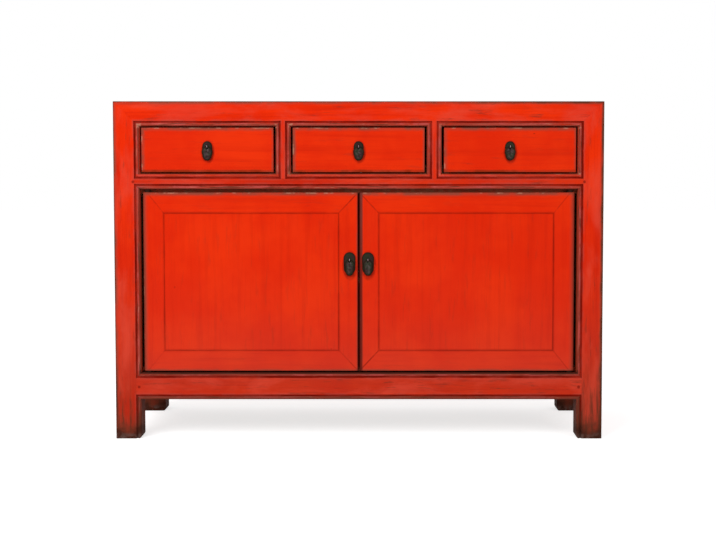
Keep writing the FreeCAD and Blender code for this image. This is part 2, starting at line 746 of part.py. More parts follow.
def doors():
    """Two mitred frames with flush panels, turning on wooden pivots. The right one mirrors the left."""
    thick = ("face", "door_back")
    mitre = ("face", "face + mitre_depth")
    core = ("face + mitre_depth", "door_back")
    rails = {}
    tenons = {}
    mitres = {}
    rail_faces = {
        "low": {"z": "door_low", "x": ("pivot_x", "door_meet"), "y": mitre},
        "low_inner": {"z": "low_rail_inner", "x": ("hinge_inner", "meet_inner"), "y": mitre},
        "high_inner": {"z": "high_rail_inner", "x": ("hinge_inner", "meet_inner"), "y": mitre},
        "high": {"z": "door_high", "x": ("pivot_x", "door_meet"), "y": mitre},
    }
    ends = {"low": ("low", "low_inner"), "high": ("high_inner", "high")}
    for mark, (start, end) in ends.items():
        low, high = rail_faces[start]["z"], rail_faces[end]["z"]
        mitres[mark] = taper(f"door_{mark}_mitre", "z", rail_faces[start], rail_faces[end])
        tenons[mark] = block(
            f"door_{mark}_tenon",
            ("hinge_inner - door_tenon_length", "meet_inner + door_tenon_length"),
            ("face + mitre_depth + stop_gap", "face + mitre_depth + stop_gap + door_tenon_thickness"),
            (f"{low} + tenon_shoulder", f"{high} - tenon_shoulder"),
        )
        body = block(f"door_{mark}_core", ("hinge_inner", "meet_inner"), core, (low, high))
        rails[mark] = fuse(f"door_{mark}_rail", mitres[mark], body, tenons[mark])

    # panel with a tongue all round, and the battens that keep it flat
    tongue = block(
        "door_tongue",
        ("hinge_inner - groove_depth", "meet_inner + groove_depth"),
        ("door_tongue_front", "door_panel_back"),
        ("low_rail_inner - groove_depth", "high_rail_inner + groove_depth"),
    )
    field = block(
        "door_field",
        ("hinge_inner + panel_gap", "meet_inner - panel_gap"),
        ("face + door_panel_set_back", "door_panel_back"),
        ("low_rail_inner + panel_gap", "high_rail_inner - panel_gap"),
    )
    batten_boards = []
    batten_keys = []
    for mark, sign in (("low", "-"), ("high", "+")):
        place = f"door_middle {sign} door_batten_spread"
        low, high = f"{place} - door_batten_width / 2", f"{place} + door_batten_width / 2"
        board = block(
            f"door_{mark}_batten_board",
            ("hinge_inner - housing_depth", "meet_inner + housing_depth"),
            ("door_panel_back", "door_panel_back + door_batten_thickness"),
            (low, high),
        )
        key = taper(
            f"door_{mark}_batten_key",
            "y",
            {
                "y": "door_panel_back - dovetail_depth",
                "x": ("hinge_inner", "meet_inner"),
                "z": (f"{low} - dovetail_flare", f"{high} + dovetail_flare"),
            },
            {"y": "door_panel_back", "x": ("hinge_inner", "meet_inner"), "z": (low, high)},
        )
        batten_boards.append(fuse(f"door_{mark}_batten", board, key))
        batten_keys.append(key)

    # stiles, the outer one round at its edge with a pivot at each end
    upright = ("door_low", "door_high")
    axis = {"x": "pivot_x", "y": "pivot_y"}
    hinge_blank = fuse(
        "hinge_blank",
        block("hinge_board", ("pivot_x", "hinge_inner"), thick, upright),
        rod("hinge_round", "z", axis, upright, "door_thickness / 2"),
        rod("top_pivot", "z", axis, ("door_high", "door_head + top_pivot_length"), "pivot_radius"),
        rod(
            "bottom_pivot",
            "z",
            axis,
            ("door_sill - bottom_pivot_length + pivot_clearance", "door_low"),
            "pivot_radius",
        ),
    )
    joints = [*mitres.values(), *tenons.values(), tongue, *batten_boards]
    meeting_blank = block("meeting_board", ("meet_inner", "door_meet"), thick, upright)
    pull_holes = pin_holes("door_pull_hole", "door_meet - door_pull_inset", "door_pull_z", "door_thickness")
    pieces = {
        "hinge_stile": cut("left_hinge_stile", hinge_blank, *joints),
        "meeting_stile": cut("left_meeting_stile", meeting_blank, *joints, *pull_holes),
        "rails": group("left_rails", *[cut(f"left_{mark}_rail", rails[mark], tongue) for mark in rails]),
        "panel": cut("left_panel", fuse("door_panel_board", tongue, field), *batten_keys),
        "battens": group("left_battens", *batten_boards),
    }
    for name, piece in pieces.items():
        node(piece, f"left_door_{name}")
        node(mirror(f"right_{name}", piece), f"right_door_{name}")


def drawer(name, centre):
    """Dovetailed drawer: front, two sides, back and bottom."""
    left, right = f"{centre} - drawer_half", f"{centre} + drawer_half"
    inner_left, inner_right = f"{left} + drawer_side_thickness", f"{right} - drawer_side_thickness"
    floor_z = ("drawer_floor", "drawer_floor_top")
    bottom = block(
        f"{name}_bottom",
        (f"{inner_left} - drawer_groove", f"{inner_right} + drawer_groove"),
        ("drawer_front_back - drawer_groove", "drawer_rear"),
        floor_z,
    )
    rear_board = block(
        f"{name}_back",
        (f"{inner_left} - drawer_groove", f"{inner_right} + drawer_groove"),
        ("drawer_rear - drawer_back_thickness", "drawer_rear"),
        ("drawer_floor_top", "drawer_side_top - drawer_back_drop"),
    )
    side_z = ("drawer_bottom", "drawer_side_top")
    sides = []
    tails = []
    for mark, x in (("left", (left, inner_left)), ("right", (inner_right, right))):
        own_tails = []
        for count in range(TAILS):
            place = f"drawer_bottom + drawer_side_height * {2 * count + 1} / {2 * TAILS}"
            low, high = f"{place} - tail_width / 2", f"{place} + tail_width / 2"
            flared = (f"{low} - tail_flare", f"{high} + tail_flare")
            own_tails.append(
                taper(
                    f"{name}_{mark}_tail_{count}",
                    "y",
                    {"y": "face + lap_thickness", "x": x, "z": flared},
                    {"y": "drawer_front_back", "x": x, "z": (low, high)},
                )
            )
        board = block(f"{name}_{mark}_board", x, ("drawer_front_back", "drawer_rear"), side_z)
        tailed = fuse(f"{name}_{mark}_tailed", board, *own_tails)
        sides.append(cut(f"{name}_{mark}_side", tailed, bottom, rear_board))
        tails += own_tails
    front_board = block(
        f"{name}_front_board", (left, right), ("face", "drawer_front_back"), ("drawer_bottom", "drawer_top")
    )
    holes = pin_holes(f"{name}_pull_hole", centre, "drawer_pull_z", "drawer_front_thickness")
    node(cut(f"{name}_front", front_board, *tails, bottom, *holes), f"{name}_front")
    node(group(f"{name}_sides", *sides), f"{name}_sides")
    node(rear_board, f"{name}_back")
    node(bottom, f"{name}_bottom")


def pin_holes(name, x, z, thickness):
    """Square hole through a front for an eye pin, with a slit where the eye sinks in."""
    half_hole = "(shank_width / 2 + shank_clearance)"
    shank = block(
        f"{name}_shank",
        (f"{x} - {half_hole}", f"{x} + {half_hole}"),
        (f"face - {CLEAR}", f"face + {thickness} + {CLEAR}"),
        (f"{z} - {half_hole}", f"{z} + {half_hole}"),
    )
    slit = block(
        f"{name}_slit",
        (f"{x} - eye_half_width", f"{x} + eye_half_width"),
        (f"face - {CLEAR}", "face + eye_outer - eye_standoff + eye_clearance"),
        (f"{z} - eye_radius", f"{z} + eye_radius"),
    )
    return shank, slit


def now(text):
    """Present value of a formula, for the first drawing of an outline."""
    bind(gauge, "X", text)
    gauge.recompute()
    return gauge.X.Value


def front_sketch(body, name):
    """Sketch on the body's upright plane, whose normal points out of the front."""
    sketch = body.newObject("Sketcher::SketchObject", name)
    plane = next(item for item in body.Origin.OriginFeatures if item.Role == "XZ_Plane")
    sketch.AttachmentSupport = [(plane, "")]
    sketch.MapMode = "FlatFace"
    return sketch


def drive(sketch, name, constraint, text):
    """Adds a constraint whose size follows a formula."""
    index = sketch.addConstraint(constraint)
    sketch.renameConstraint(index, name)
    bind(sketch, f"Constraints.{name}", text)


def egg_outline(sketch, top, low, length, top_rise):
    """Closed outline of two round ends and the two lines that touch both.

    top and low are the formulas of the radii, length that of the outline's whole length and top_rise
    that of its highest point above the sketch's centre.
    """
    top_place = f"({top_rise}) - ({top})"
    low_place = f"({top_rise}) - ({length}) + ({low})"
    high = FreeCAD.Vector(0, now(top_place), 0)
    deep = FreeCAD.Vector(0, now(low_place), 0)
    top_radius, low_radius = now(top), now(low)
    lean = math.asin((low_radius - top_radius) / (high.y - deep.y))
    right = FreeCAD.Vector(math.cos(lean), math.sin(lean), 0)
    left = FreeCAD.Vector(-right.x, right.y, 0)
    pieces = [
        Part.ArcOfCircle(Part.Circle(high, UNIT["z"], top_radius), lean, math.pi - lean),
        Part.LineSegment(high + left * top_radius, deep + left * low_radius),
        Part.ArcOfCircle(Part.Circle(deep, UNIT["z"], low_radius), math.pi - lean, 2 * math.pi + lean),
        Part.LineSegment(deep + right * low_radius, high + right * top_radius),
    ]
    sketch.addGeometry(pieces, False)
    for first in range(len(pieces)):
        second = (first + 1) % len(pieces)
        sketch.addConstraint(Sketcher.Constraint("Tangent", first, 2, second, 1))
    sketch.addConstraint(Sketcher.Constraint("PointOnObject", 0, 3, -2))
    sketch.addConstraint(Sketcher.Constraint("PointOnObject", 2, 3, -2))
    drive(sketch, "top_radius", Sketcher.Constraint("Radius", 0, top_radius), top)
    drive(sketch, "low_radius", Sketcher.Constraint("Radius", 2, low_radius), low)
    drive(sketch, "top_place", Sketcher.Constraint("DistanceY", -1, 1, 0, 3, high.y), top_place)
    drive(sketch, "low_place", Sketcher.Constraint("DistanceY", -1, 1, 2, 3, deep.y), low_place)


def slit_outline(sketch):
    """Upright slit for the eye, as wide as its wire and as high as the eye itself."""
    wide = now("eye_half_width")
    high = now("eye_outer")
    corners = ((-wide, -high), (wide, -high), (wide, high), (-wide, high))
    points = [FreeCAD.Vector(x, y, 0) for x, y in corners]
    sides = len(points)
    sketch.addGeometry([Part.LineSegment(points[i], points[(i + 1) % sides]) for i in range(sides)], False)
    for i in range(sides):
        sketch.addConstraint(Sketcher.Constraint("Coincident", i, 2, (i + 1) % sides, 1))
        sketch.addConstraint(Sketcher.Constraint("Vertical" if i % 2 else "Horizontal", i))
    sketch.addConstraint(Sketcher.Constraint("Symmetric", 0, 1, 2, 1, -1, 1))
    drive(sketch, "slit_width", Sketcher.Constraint("DistanceX", 0, 1, 0, 2, 2 * wide), "2 * eye_half_width")
    drive(sketch, "slit_height", Sketcher.Constraint("DistanceY", 1, 1, 1, 2, 2 * high), "2 * eye_outer")


def hole_outline(sketch):
    """Round hole that the eye passes through, below the rim at the top of the drop."""
    place = "-(drop_rim + drop_hole_radius)"
    radius = now("drop_hole_radius")
    centre = FreeCAD.Vector(0, now(place), 0)
    sketch.addGeometry(Part.Circle(centre, UNIT["z"], radius), False)
    sketch.addConstraint(Sketcher.Constraint("PointOnObject", 0, 3, -2))
    drive(sketch, "hole_radius", Sketcher.Constraint("Radius", 0, radius), "drop_hole_radius")
    drive(sketch, "hole_place", Sketcher.Constraint("DistanceY", -1, 1, 0, 3, centre.y), place)


def leaf(name, place, thickness, outline, opening):
    """Flat leaf of metal with an opening through it. place gives the formulas of its origin."""
    body = doc.addObject("PartDesign::Body", name)
    for axis, text in zip("xyz", place):
        bind(body, f"Placement.Base.{axis}", text)
    edge = front_sketch(body, f"{name}_edge")
    egg_outline(edge, *outline)
    pad = body.newObject("PartDesign::Pad", f"{name}_pad")
    pad.Profile = edge
    bind(pad, "Length", thickness)
    hole = front_sketch(body, f"{name}_hole")
    opening(hole)
    pocket = body.newObject("PartDesign::Pocket", f"{name}_pocket")
    pocket.Profile = hole
    pocket.Reversed = True
    bind(pocket, "Length", f"2 * {thickness}")
    return body


def pull(name, kind, x, z, thickness):
    """Drop pull: a back plate, an eye pin clinched behind the board, and a drop that hangs on the eye."""
    plate = leaf(
        f"{name}_plate",
        (x, "face", z),
        "plate_thickness",
        (f"{kind}_plate_width / 2", f"{kind}_plate_low_radius", f"{kind}_plate_height", f"{kind}_plate_top"),
        slit_outline,
    )
    node(plate, f"{name}_pull_plate")

    eye_y = "face - eye_standoff"
    eye_centre = {"y": eye_y, "z": z}
    eye_x = (f"{x} - wire_width / 2", f"{x} + wire_width / 2")
    eye = cut(
        f"{name}_eye",
        eye_disc(f"{name}_eye_disc", eye_centre, eye_x, "eye_outer"),
        eye_disc(f"{name}_eye_hole", eye_centre, eye_x, "eye_inner"),
    )
    board_back = f"face + {thickness}"
    bar_z = (f"{z} - shank_width / 2", f"{z} + shank_width / 2")
    shank = block(
        f"{name}_shank",
        (f"{x} - shank_width / 2", f"{x} + shank_width / 2"),
        (f"{eye_y} + eye_radius", f"{board_back} + clinch_thickness"),
        bar_z,
    )
    clinch = block(
        f"{name}_clinch",
        (f"{x} - clinch_length", f"{x} + clinch_length"),
        (board_back, f"{board_back} + clinch_thickness"),
        bar_z,
    )
    node(fuse(f"{name}_pin", eye, shank, clinch), f"{name}_pull_pin")

    drop = leaf(
        f"{name}_drop",
        (x, f"{eye_y} + drop_thickness / 2", z),
        "drop_thickness",
        (f"{kind}_drop_top_radius", f"{kind}_drop_low_radius", f"{kind}_drop_length", "0"),
        hole_outline,
    )
    node(drop, f"{name}_pull_drop")


case()
doors()
for drawer_name, drawer_centre in (
    ("left_drawer", "-drawer_pitch"),
    ("middle_drawer", "0"),
    ("right_drawer", "drawer_pitch"),
):
    drawer(drawer_name, drawer_centre)
    pull(drawer_name, "drawer", drawer_centre, "drawer_pull_z", "drawer_front_thickness")
pull("left_door", "door", "door_meet - door_pull_inset", "door_pull_z", "door_thickness")
pull("right_door", "door", "-door_meet + door_pull_inset", "door_pull_z", "door_thickness")

doc.removeObject(gauge.Name)
doc.recompute()
failed = [item.Name for item in doc.Objects if {"Invalid", "Error"} & set(item.State)]
failed += [item.Label for item in nodes if item.Shape.isNull() or not item.Shape.isValid()]
if failed:
    raise SystemExit(f"these objects failed: {failed}")
os.makedirs("parts", exist_ok=True)
for item in nodes:
    item.Shape.exportStep(f"parts/{item.Label}.step")
print(len(nodes), "nodes written")
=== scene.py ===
import math

import bpy
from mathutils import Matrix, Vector


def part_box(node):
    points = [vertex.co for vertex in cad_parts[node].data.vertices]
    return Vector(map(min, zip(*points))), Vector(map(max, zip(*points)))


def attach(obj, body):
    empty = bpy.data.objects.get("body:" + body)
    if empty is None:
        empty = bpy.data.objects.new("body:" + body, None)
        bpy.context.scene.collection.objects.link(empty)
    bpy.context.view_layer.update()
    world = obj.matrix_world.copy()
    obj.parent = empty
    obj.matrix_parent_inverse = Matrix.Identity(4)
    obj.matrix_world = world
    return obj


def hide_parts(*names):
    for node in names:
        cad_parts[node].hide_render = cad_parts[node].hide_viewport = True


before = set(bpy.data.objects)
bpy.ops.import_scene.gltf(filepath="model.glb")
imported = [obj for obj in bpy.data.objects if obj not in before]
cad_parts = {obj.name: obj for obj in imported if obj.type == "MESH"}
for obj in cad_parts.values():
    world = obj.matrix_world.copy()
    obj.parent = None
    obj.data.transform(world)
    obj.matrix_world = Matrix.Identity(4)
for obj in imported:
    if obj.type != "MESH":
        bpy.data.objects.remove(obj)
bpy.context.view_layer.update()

# Places of the solids, in metres
POST_LOW, POST_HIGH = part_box("front_left_post")
REAR_LOW, REAR_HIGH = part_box("rear_left_post")
SIDE_RAIL_LOW, SIDE_RAIL_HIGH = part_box("side_bottom_rails")
MIDDLE_LOW, MIDDLE_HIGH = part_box("rear_middle_rail")
DRAWER_LOW, DRAWER_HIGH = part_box("middle_drawer_front")
STILE_LOW, STILE_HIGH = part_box("right_door_meeting_stile")
HINGE_LOW, HINGE_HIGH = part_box("right_door_hinge_stile")
PANEL_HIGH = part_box("right_side_panel")[1]
DIVIDER_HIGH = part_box("drawer_dividers")[1]
HALF = -POST_LOW.x
INNER = -POST_HIGH.x
FRONT = POST_LOW.y
FRONT_POST_BACK = POST_HIGH.y
HEIGHT = POST_HIGH.z
REAR_POST_FRONT = REAR_LOW.y
BACK = REAR_HIGH.y
LEG_TOP = SIDE_RAIL_LOW.z
DOOR_SILL = SIDE_RAIL_HIGH.z
DOOR_HEAD = MIDDLE_LOW.z
DRAWER_SILL = MIDDLE_HIGH.z
TOP_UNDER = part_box("side_top_rails")[0].z
FACE = DRAWER_LOW.y
DRAWER_HALF = DRAWER_HIGH.x
DRAWER_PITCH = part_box("right_drawer_front")[0].x + DRAWER_HALF
DRAWER_OPENING = DRAWER_PITCH - DIVIDER_HIGH.x
DOOR_MEET = STILE_LOW.x
DOOR_OUTER = HINGE_HIGH.x
DOOR_LOW = STILE_LOW.z
DOOR_HIGH = STILE_HIGH.z
DOOR_BACK = STILE_HIGH.y
DOOR_PANEL_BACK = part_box("right_door_panel")[1].y
MEET_INNER = STILE_HIGH.x
HINGE_INNER = HINGE_LOW.x
PIVOT_X = DOOR_OUTER - (DOOR_BACK - FACE) / 2
TOP_PANEL = 0.014
SIDE_PANEL = 0.010
DOOR_RAIL = 0.053
BEAD = 0.0085
QUIRK = 0.0045

# Widths of rounded arrises, in metres, and how the arrises are found
ARRIS_SHARP = 0.0003
ARRIS_CRISP = 0.0004
ARRIS_EASED = 0.0006
ARRIS_SOFT = 0.0008
ARRIS_ROUND = 0.0014
ARRIS_ANGLE = math.radians(40.0)
FLAT_ANGLE = math.radians(2.0)
WELD_REACH = 0.00002

# Pegs in the front frame: distance from the middle and height, in metres
PEGS = ((0.574, 0.136), (0.585, 0.672))

# Sizes of the pulls, in metres
EYE_STANDOFF = 0.004
EYE_RADIUS = 0.004
WIRE = 0.0011
LEG_WIRE = 0.0008
CLINCH = 0.0115
PLATE_EDGE = 0.0007
PLATE_CROWN = 0.0023
DROP_EDGE = 0.0005
DROP_CROWN = 0.0028
DROP_BACK = 0.0011
DROP_HOLE = 0.0022
DROP_RIM = 0.0022
DROP_SLOPE = 0.0105
HOLE_SLOPE = 0.0028
FAR_INSIDE = 0.01

# How much of a plate's smaller radius slopes, and how soon it is level
PLATE_SLOPE = 0.9
PLATE_ROUNDING = 1.6

# Fineness of the pulls' meshes, and the shares of the way inwards at which their rings lie
PULL_SAMPLES = 96
PLATE_STEPS = (0.02, 0.06, 0.12, 0.2, 0.35, 0.55, 0.8, 1.0)
DROP_STEPS = (0.0, 0.04, 0.1, 0.2, 0.34, 0.5, 0.68, 0.84, 0.94, 1.0)
RING_STEPS = 60
EYE_TURNS = 40
EYE_SIDES = 12
WIRE_SIDES = 10

# Planks of the back, in metres
PLANKS = 6
PLANK_GAP = 0.0006
PLANK_EASE = 0.0020

# Radii of the pulls' outlines, and how far above the end of its solid each drop ends, in metres
PULL_RADII = {
    "drawer": {"plate_low": 0.0132, "drop_top": 0.0142, "drop_low": 0.0115, "lift": 0.0015},
    "door": {"plate_low": 0.0150, "drop_top": 0.0125, "drop_low": 0.0105, "lift": 0.0040},
}

DRAWERS = ("left_drawer", "middle_drawer", "right_drawer")
DOORS = ("left_door", "right_door")
AXES = "xyz"
UPWARD = Vector((0.0, 0.0, 1.0))

# Surroundings, lamps (metres and watts), and the camera (millimetres, metres and degrees) that puts
# the outlines where the photo has them
WORLD_LIGHT = 0.46
FLOOR_REACH = 14.0
FLOOR_GREY = 0.80
FLOOR_GLOW = 0.68
LAMP_SIZE = 2.2
KEY_POWER = 86.0
FILL_POWER = 34.0
LENS = 59.66
SHIFT_X = -0.0355
SHIFT_Y = -0.07
CAMERA_PLACE = (0.0641, -3.2717, 0.7256)
CAMERA_DIP = 2.835


class Paint:
    """Builds one procedural material. Values are sockets or plain numbers."""

    def __init__(self, name):
        self.material = bpy.data.materials.new(name)
        self.material.use_nodes = True
        self.tree = self.material.node_tree
        self.tree.nodes.clear()
        self.shader = self.add("ShaderNodeBsdfPrincipled")
        output = self.add("ShaderNodeOutputMaterial")
        self.tree.links.new(self.shader.outputs["BSDF"], output.inputs["Surface"])
        self.place = self.add("ShaderNodeTexCoord").outputs["Object"]
        parts = self.add("ShaderNodeSeparateXYZ")
        self.link(self.place, parts.inputs[0])
        self.x, self.y, self.z = parts.outputs[:3]

    def add(self, kind, **settings):
        node = self.tree.nodes.new(kind)
        for key, value in settings.items():
            setattr(node, key, value)
        return node

    def link(self, value, socket):
        if isinstance(value, bpy.types.NodeSocket):
            self.tree.links.new(value, socket)
        else:
            socket.default_value = value

    def calc(self, operation, *values):
        node = self.add("ShaderNodeMath", operation=operation)
        for value, socket in zip(values, node.inputs):
            self.link(value, socket)
        return node.outputs[0]

    def plus(self, first, second):
        return self.calc("ADD", first, second)

    def minus(self, first, second):
        return self.calc("SUBTRACT", first, second)

    def size(self, value):
        return self.calc("ABSOLUTE", value)

    def least(self, first, *rest):
        for value in rest:
            first = self.calc("MINIMUM", first, value)
        return first

    def most(self, first, *rest):
        for value in rest:
            first = self.calc("MAXIMUM", first, value)
        return first

    def times(self, first, *rest):
        for value in rest:
            first = self.calc("MULTIPLY", first, value)
        return first

    def reach(self, first, second):
        """Length of the way that two steps at right angles make."""
        return self.calc("SQRT", self.plus(self.times(first, first), self.times(second, second)))

    def ramp(self, value, start, end):
        """0 at start, 1 at end, smooth between. start may be the higher one."""
        node = self.add("ShaderNodeMapRange", interpolation_type="SMOOTHSTEP")
        self.link(value, node.inputs["Value"])
        node.inputs["From Min"].default_value = start
        node.inputs["From Max"].default_value = end
        return node.outputs["Result"]

    def spread(self, value, low, high):
        """Maps 0 to 1 onto low to high."""
        node = self.add("ShaderNodeMapRange")
        self.link(value, node.inputs["Value"])
        node.inputs["To Min"].default_value = low
        node.inputs["To Max"].default_value = high
        return node.outputs["Result"]

    def band(self, value, low, high, soft):
        """1 between low and high, fading over soft on both sides."""
        rise = self.ramp(value, low - soft, low)
        return self.times(rise, self.ramp(value, high + soft, high))

    def by_height(self, stops, stir=0.02):
        """Share that goes through the given points of height and share, on a stirred height."""
        node = self.add("ShaderNodeValToRGB")
        height = self.wobble(self.z, 9.0, stir)
        self.link(self.calc("DIVIDE", height, HEIGHT), node.inputs["Fac"])
        elements = node.color_ramp.elements
        elements.remove(elements[-1])
        for index, (place, share) in enumerate(stops):
            element = elements.new(place / HEIGHT) if index else elements[0]
            element.position = place / HEIGHT
            element.color = (share, share, share, 1.0)
        return node.outputs["Color"]

    def stretched(self, scale):
        node = self.add("ShaderNodeVectorMath", operation="MULTIPLY")
        self.link(self.place, node.inputs[0])
        node.inputs[1].default_value = scale
        return node.outputs[0]

    def noise(self, scale, detail=3.0, rough=0.5, vector=None, twist=0.0):
        node = self.add("ShaderNodeTexNoise")
        self.link(self.place if vector is None else vector, node.inputs["Vector"])
        node.inputs["Scale"].default_value = scale
        node.inputs["Detail"].default_value = detail
        node.inputs["Roughness"].default_value = rough
        node.inputs["Distortion"].default_value = twist
        return node.outputs["Fac"]

    def streaks(self, grain, along, across, detail, rough, twist=0.0):
        """Noise drawn out along the grain, by its scales along and across it."""
        scale = grain_scale(grain, along, across)
        return self.noise(1.0, detail, rough, self.stretched(scale), twist)

    def wobble(self, value, scale, amount, detail=3.0):
        """Value moved up and down by a noise, by amount at most."""
        shift = self.spread(self.noise(scale, detail), -amount, amount)
        return self.plus(value, shift)

    def patches(self, scale, start, end, detail=4.0, rough=0.6):
        """Cloud-shaped patches: 0 where the noise is under start, 1 over end."""
        return self.ramp(self.noise(scale, detail, rough), start, end)

    def dots(self, scale, radius, share, vector=None):
        """Scattered round spots: radius in metres, share of the cells that hold one."""
        node = self.add("ShaderNodeTexVoronoi")
        self.link(self.place if vector is None else vector, node.inputs["Vector"])
        node.inputs["Scale"].default_value = scale
        chance = self.add("ShaderNodeSeparateColor")
        self.link(node.outputs["Color"], chance.inputs[0])
        held = self.calc("LESS_THAN", chance.outputs[0], share)
        size = self.spread(chance.outputs[1], 0.4, 1.0)
        distance = self.calc("DIVIDE", node.outputs["Distance"], size)
        return self.times(held, self.ramp(distance, radius * scale, 0.5 * radius * scale))

    def mix(self, share, first, second):
        node = self.add("ShaderNodeMix", data_type="RGBA")
        self.link(share, node.inputs["Factor"])
        colours = [socket for socket in node.inputs if socket.type == "RGBA"]
        for value, socket in zip((first, second), colours):
            self.link(value if isinstance(value, bpy.types.NodeSocket) else (*value, 1.0), socket)
        return next(socket for socket in node.outputs if socket.type == "RGBA")

    def blend(self, share, first, second):
        """Number between two others."""
        node = self.add("ShaderNodeMix", data_type="FLOAT")
        numbers = [socket for socket in node.inputs if socket.type == "VALUE"]
        for value, socket in zip((share, first, second), numbers):
            self.link(value, socket)
        return node.outputs[0]

    def layer(self, share, colour, rough, depth=0.0):
        """Lays a coat of another colour over what is there, by a share from 0 to 1."""
        self.colour = self.mix(share, self.colour, colour)
        self.rough = self.blend(share, self.rough, rough)
        if depth:
            self.height = self.minus(self.height, self.times(share, depth))

    def finish(self, specular, bump, metallic=0.0):
        """Joins the layers to the shader. Heights are in tenths of a millimetre."""
        self.link(self.colour, self.shader.inputs["Base Color"])
        self.link(self.rough, self.shader.inputs["Roughness"])
        self.shader.inputs["Specular IOR Level"].default_value = specular
        self.shader.inputs["Metallic"].default_value = metallic
        relief = self.add("ShaderNodeBump")
        relief.inputs["Distance"].default_value = RELIEF_UNIT
        relief.inputs["Strength"].default_value = bump
        self.link(self.height, relief.inputs["Height"])
        self.link(relief.outputs["Normal"], self.shader.inputs["Normal"])
        return self.material


# Colours, as linear red, green and blue
RED = (0.760, 0.0200, 0.0012)
RED_DEEP = (0.580, 0.0110, 0.0010)
RED_WARM = (0.840, 0.0310, 0.0020)
DUSK = (0.150, 0.0300, 0.0170)
# pinkish grey of dust, also a painted reflection of the floor on the lower parts
DUST_AND_SHEEN = (0.200, 0.0920, 0.0670)
# dark red of nicks, dents and joints, also the painted shadow round the pulls
NICK_AND_SHADOW = (0.210, 0.0080, 0.0030)
# dark red of the quirks: grime with painted shade
CREVICE = (0.260, 0.0080, 0.0020)
RUBBED = (0.430, 0.0620, 0.0440)
RIM = (0.270, 0.0560, 0.0330)
CREAM = (0.540, 0.2300, 0.1500)
# grey mauve of the meeting edge: partly rubbing, partly a painted reflection
MAUVE = (0.190, 0.0380, 0.0280)
BROWN = (0.110, 0.0300, 0.0150)
# pale pink cast in patches: partly bloom of the lacquer, partly painted sheen
BLOOM_AND_SHEEN = (0.720, 0.0760, 0.0420)
# olive: painted shade along the lower edges of the drawer fronts
OLIVE = (0.270, 0.0210, 0.0040)
WINE = (0.100, 0.0060, 0.0030)
# pink painted highlight on the crests of the beads
PINK = (0.560, 0.0860, 0.0780)
# colours of the sides in the gaps: a lit copy as painted light by the drawers, a shaded copy as
# painted shade by the doors
GAP_LIT = (0.800, 0.1200, 0.0500)
GAP_SHADED = (0.480, 0.0600, 0.0250)
# near black of soot and dirt, also painted shade in the door gaps, on the pivots and on the rear
# legs
SOOT_AND_SHADE = (0.036, 0.0130, 0.0080)
SCUFF = (0.120, 0.0680, 0.0560)
WOOD_PALE = (0.360, 0.2150, 0.1150)
WOOD_DARK = (0.190, 0.1000, 0.0480)
WOOD_STREAK = (0.110, 0.0520, 0.0240)
BRONZE = (0.026, 0.0115, 0.0120)
BRONZE_GREEN = (0.017, 0.0205, 0.0100)
BRONZE_DARK = (0.012, 0.0060, 0.0015)
# rubbed bronze, also the painted highlight on the eyes of the pins
BRONZE_BRIGHT = (0.240, 0.1750, 0.1850)

# Specular levels, and strengths of the relief, whose heights count in tenths of a millimetre
GLOSS = 0.025
WOOD_GLOSS = 0.2
METAL_GLOSS = 0.5
METALLIC = 0.9
LACQUER_RELIEF = 0.5
WOOD_RELIEF = 0.6
METAL_RELIEF = 0.5
RELIEF_UNIT = 0.0001

# Coats that change with height: points of height in metres and share. The first three make the red
# darker, duller and pinker towards the bottom: partly age and dust, partly painted shade and a
# painted reflection of the floor. The last sets where the meeting edge turns grey mauve: partly
# rubbing, partly a painted reflection.
POST_AGED_AND_SHADED = ((0.03, 0.62), (0.10, 0.55), (0.17, 0.36), (0.28, 0.22), (0.50, 0.10), (0.75, 0.0))
CASE_DUST_AND_SHEEN = ((0.10, 0.0), (0.17, 0.09), (0.28, 0.07), (0.45, 0.0))
DOOR_DUST_AND_SHEEN = ((0.0, 0.26), (0.20, 0.18), (0.24, 0.13), (0.34, 0.05), (0.46, 0.01), (0.60, 0.0))
MEETING_RUB_AND_SHEEN = ((0.0, 0.10), (0.42, 0.15), (0.50, 0.5), (0.56, 0.9), (HEIGHT, 1.0))

# Width of the rubbed border along an arris, and where it is rubbed fully, in metres
RUB_START = 0.0115
RUB_FULL = 0.0022

# In the functions below, noise scales are per metre and distances in metres. A layer takes a share,
# a colour, a roughness and a depth in tenths of a millimetre.


def even(share):
    """Points for the same share at every height."""
    return (0.0, share), (HEIGHT, share)


def grain_scale(grain, along, across):
    return tuple(along if axis == grain else across for axis in AXES)


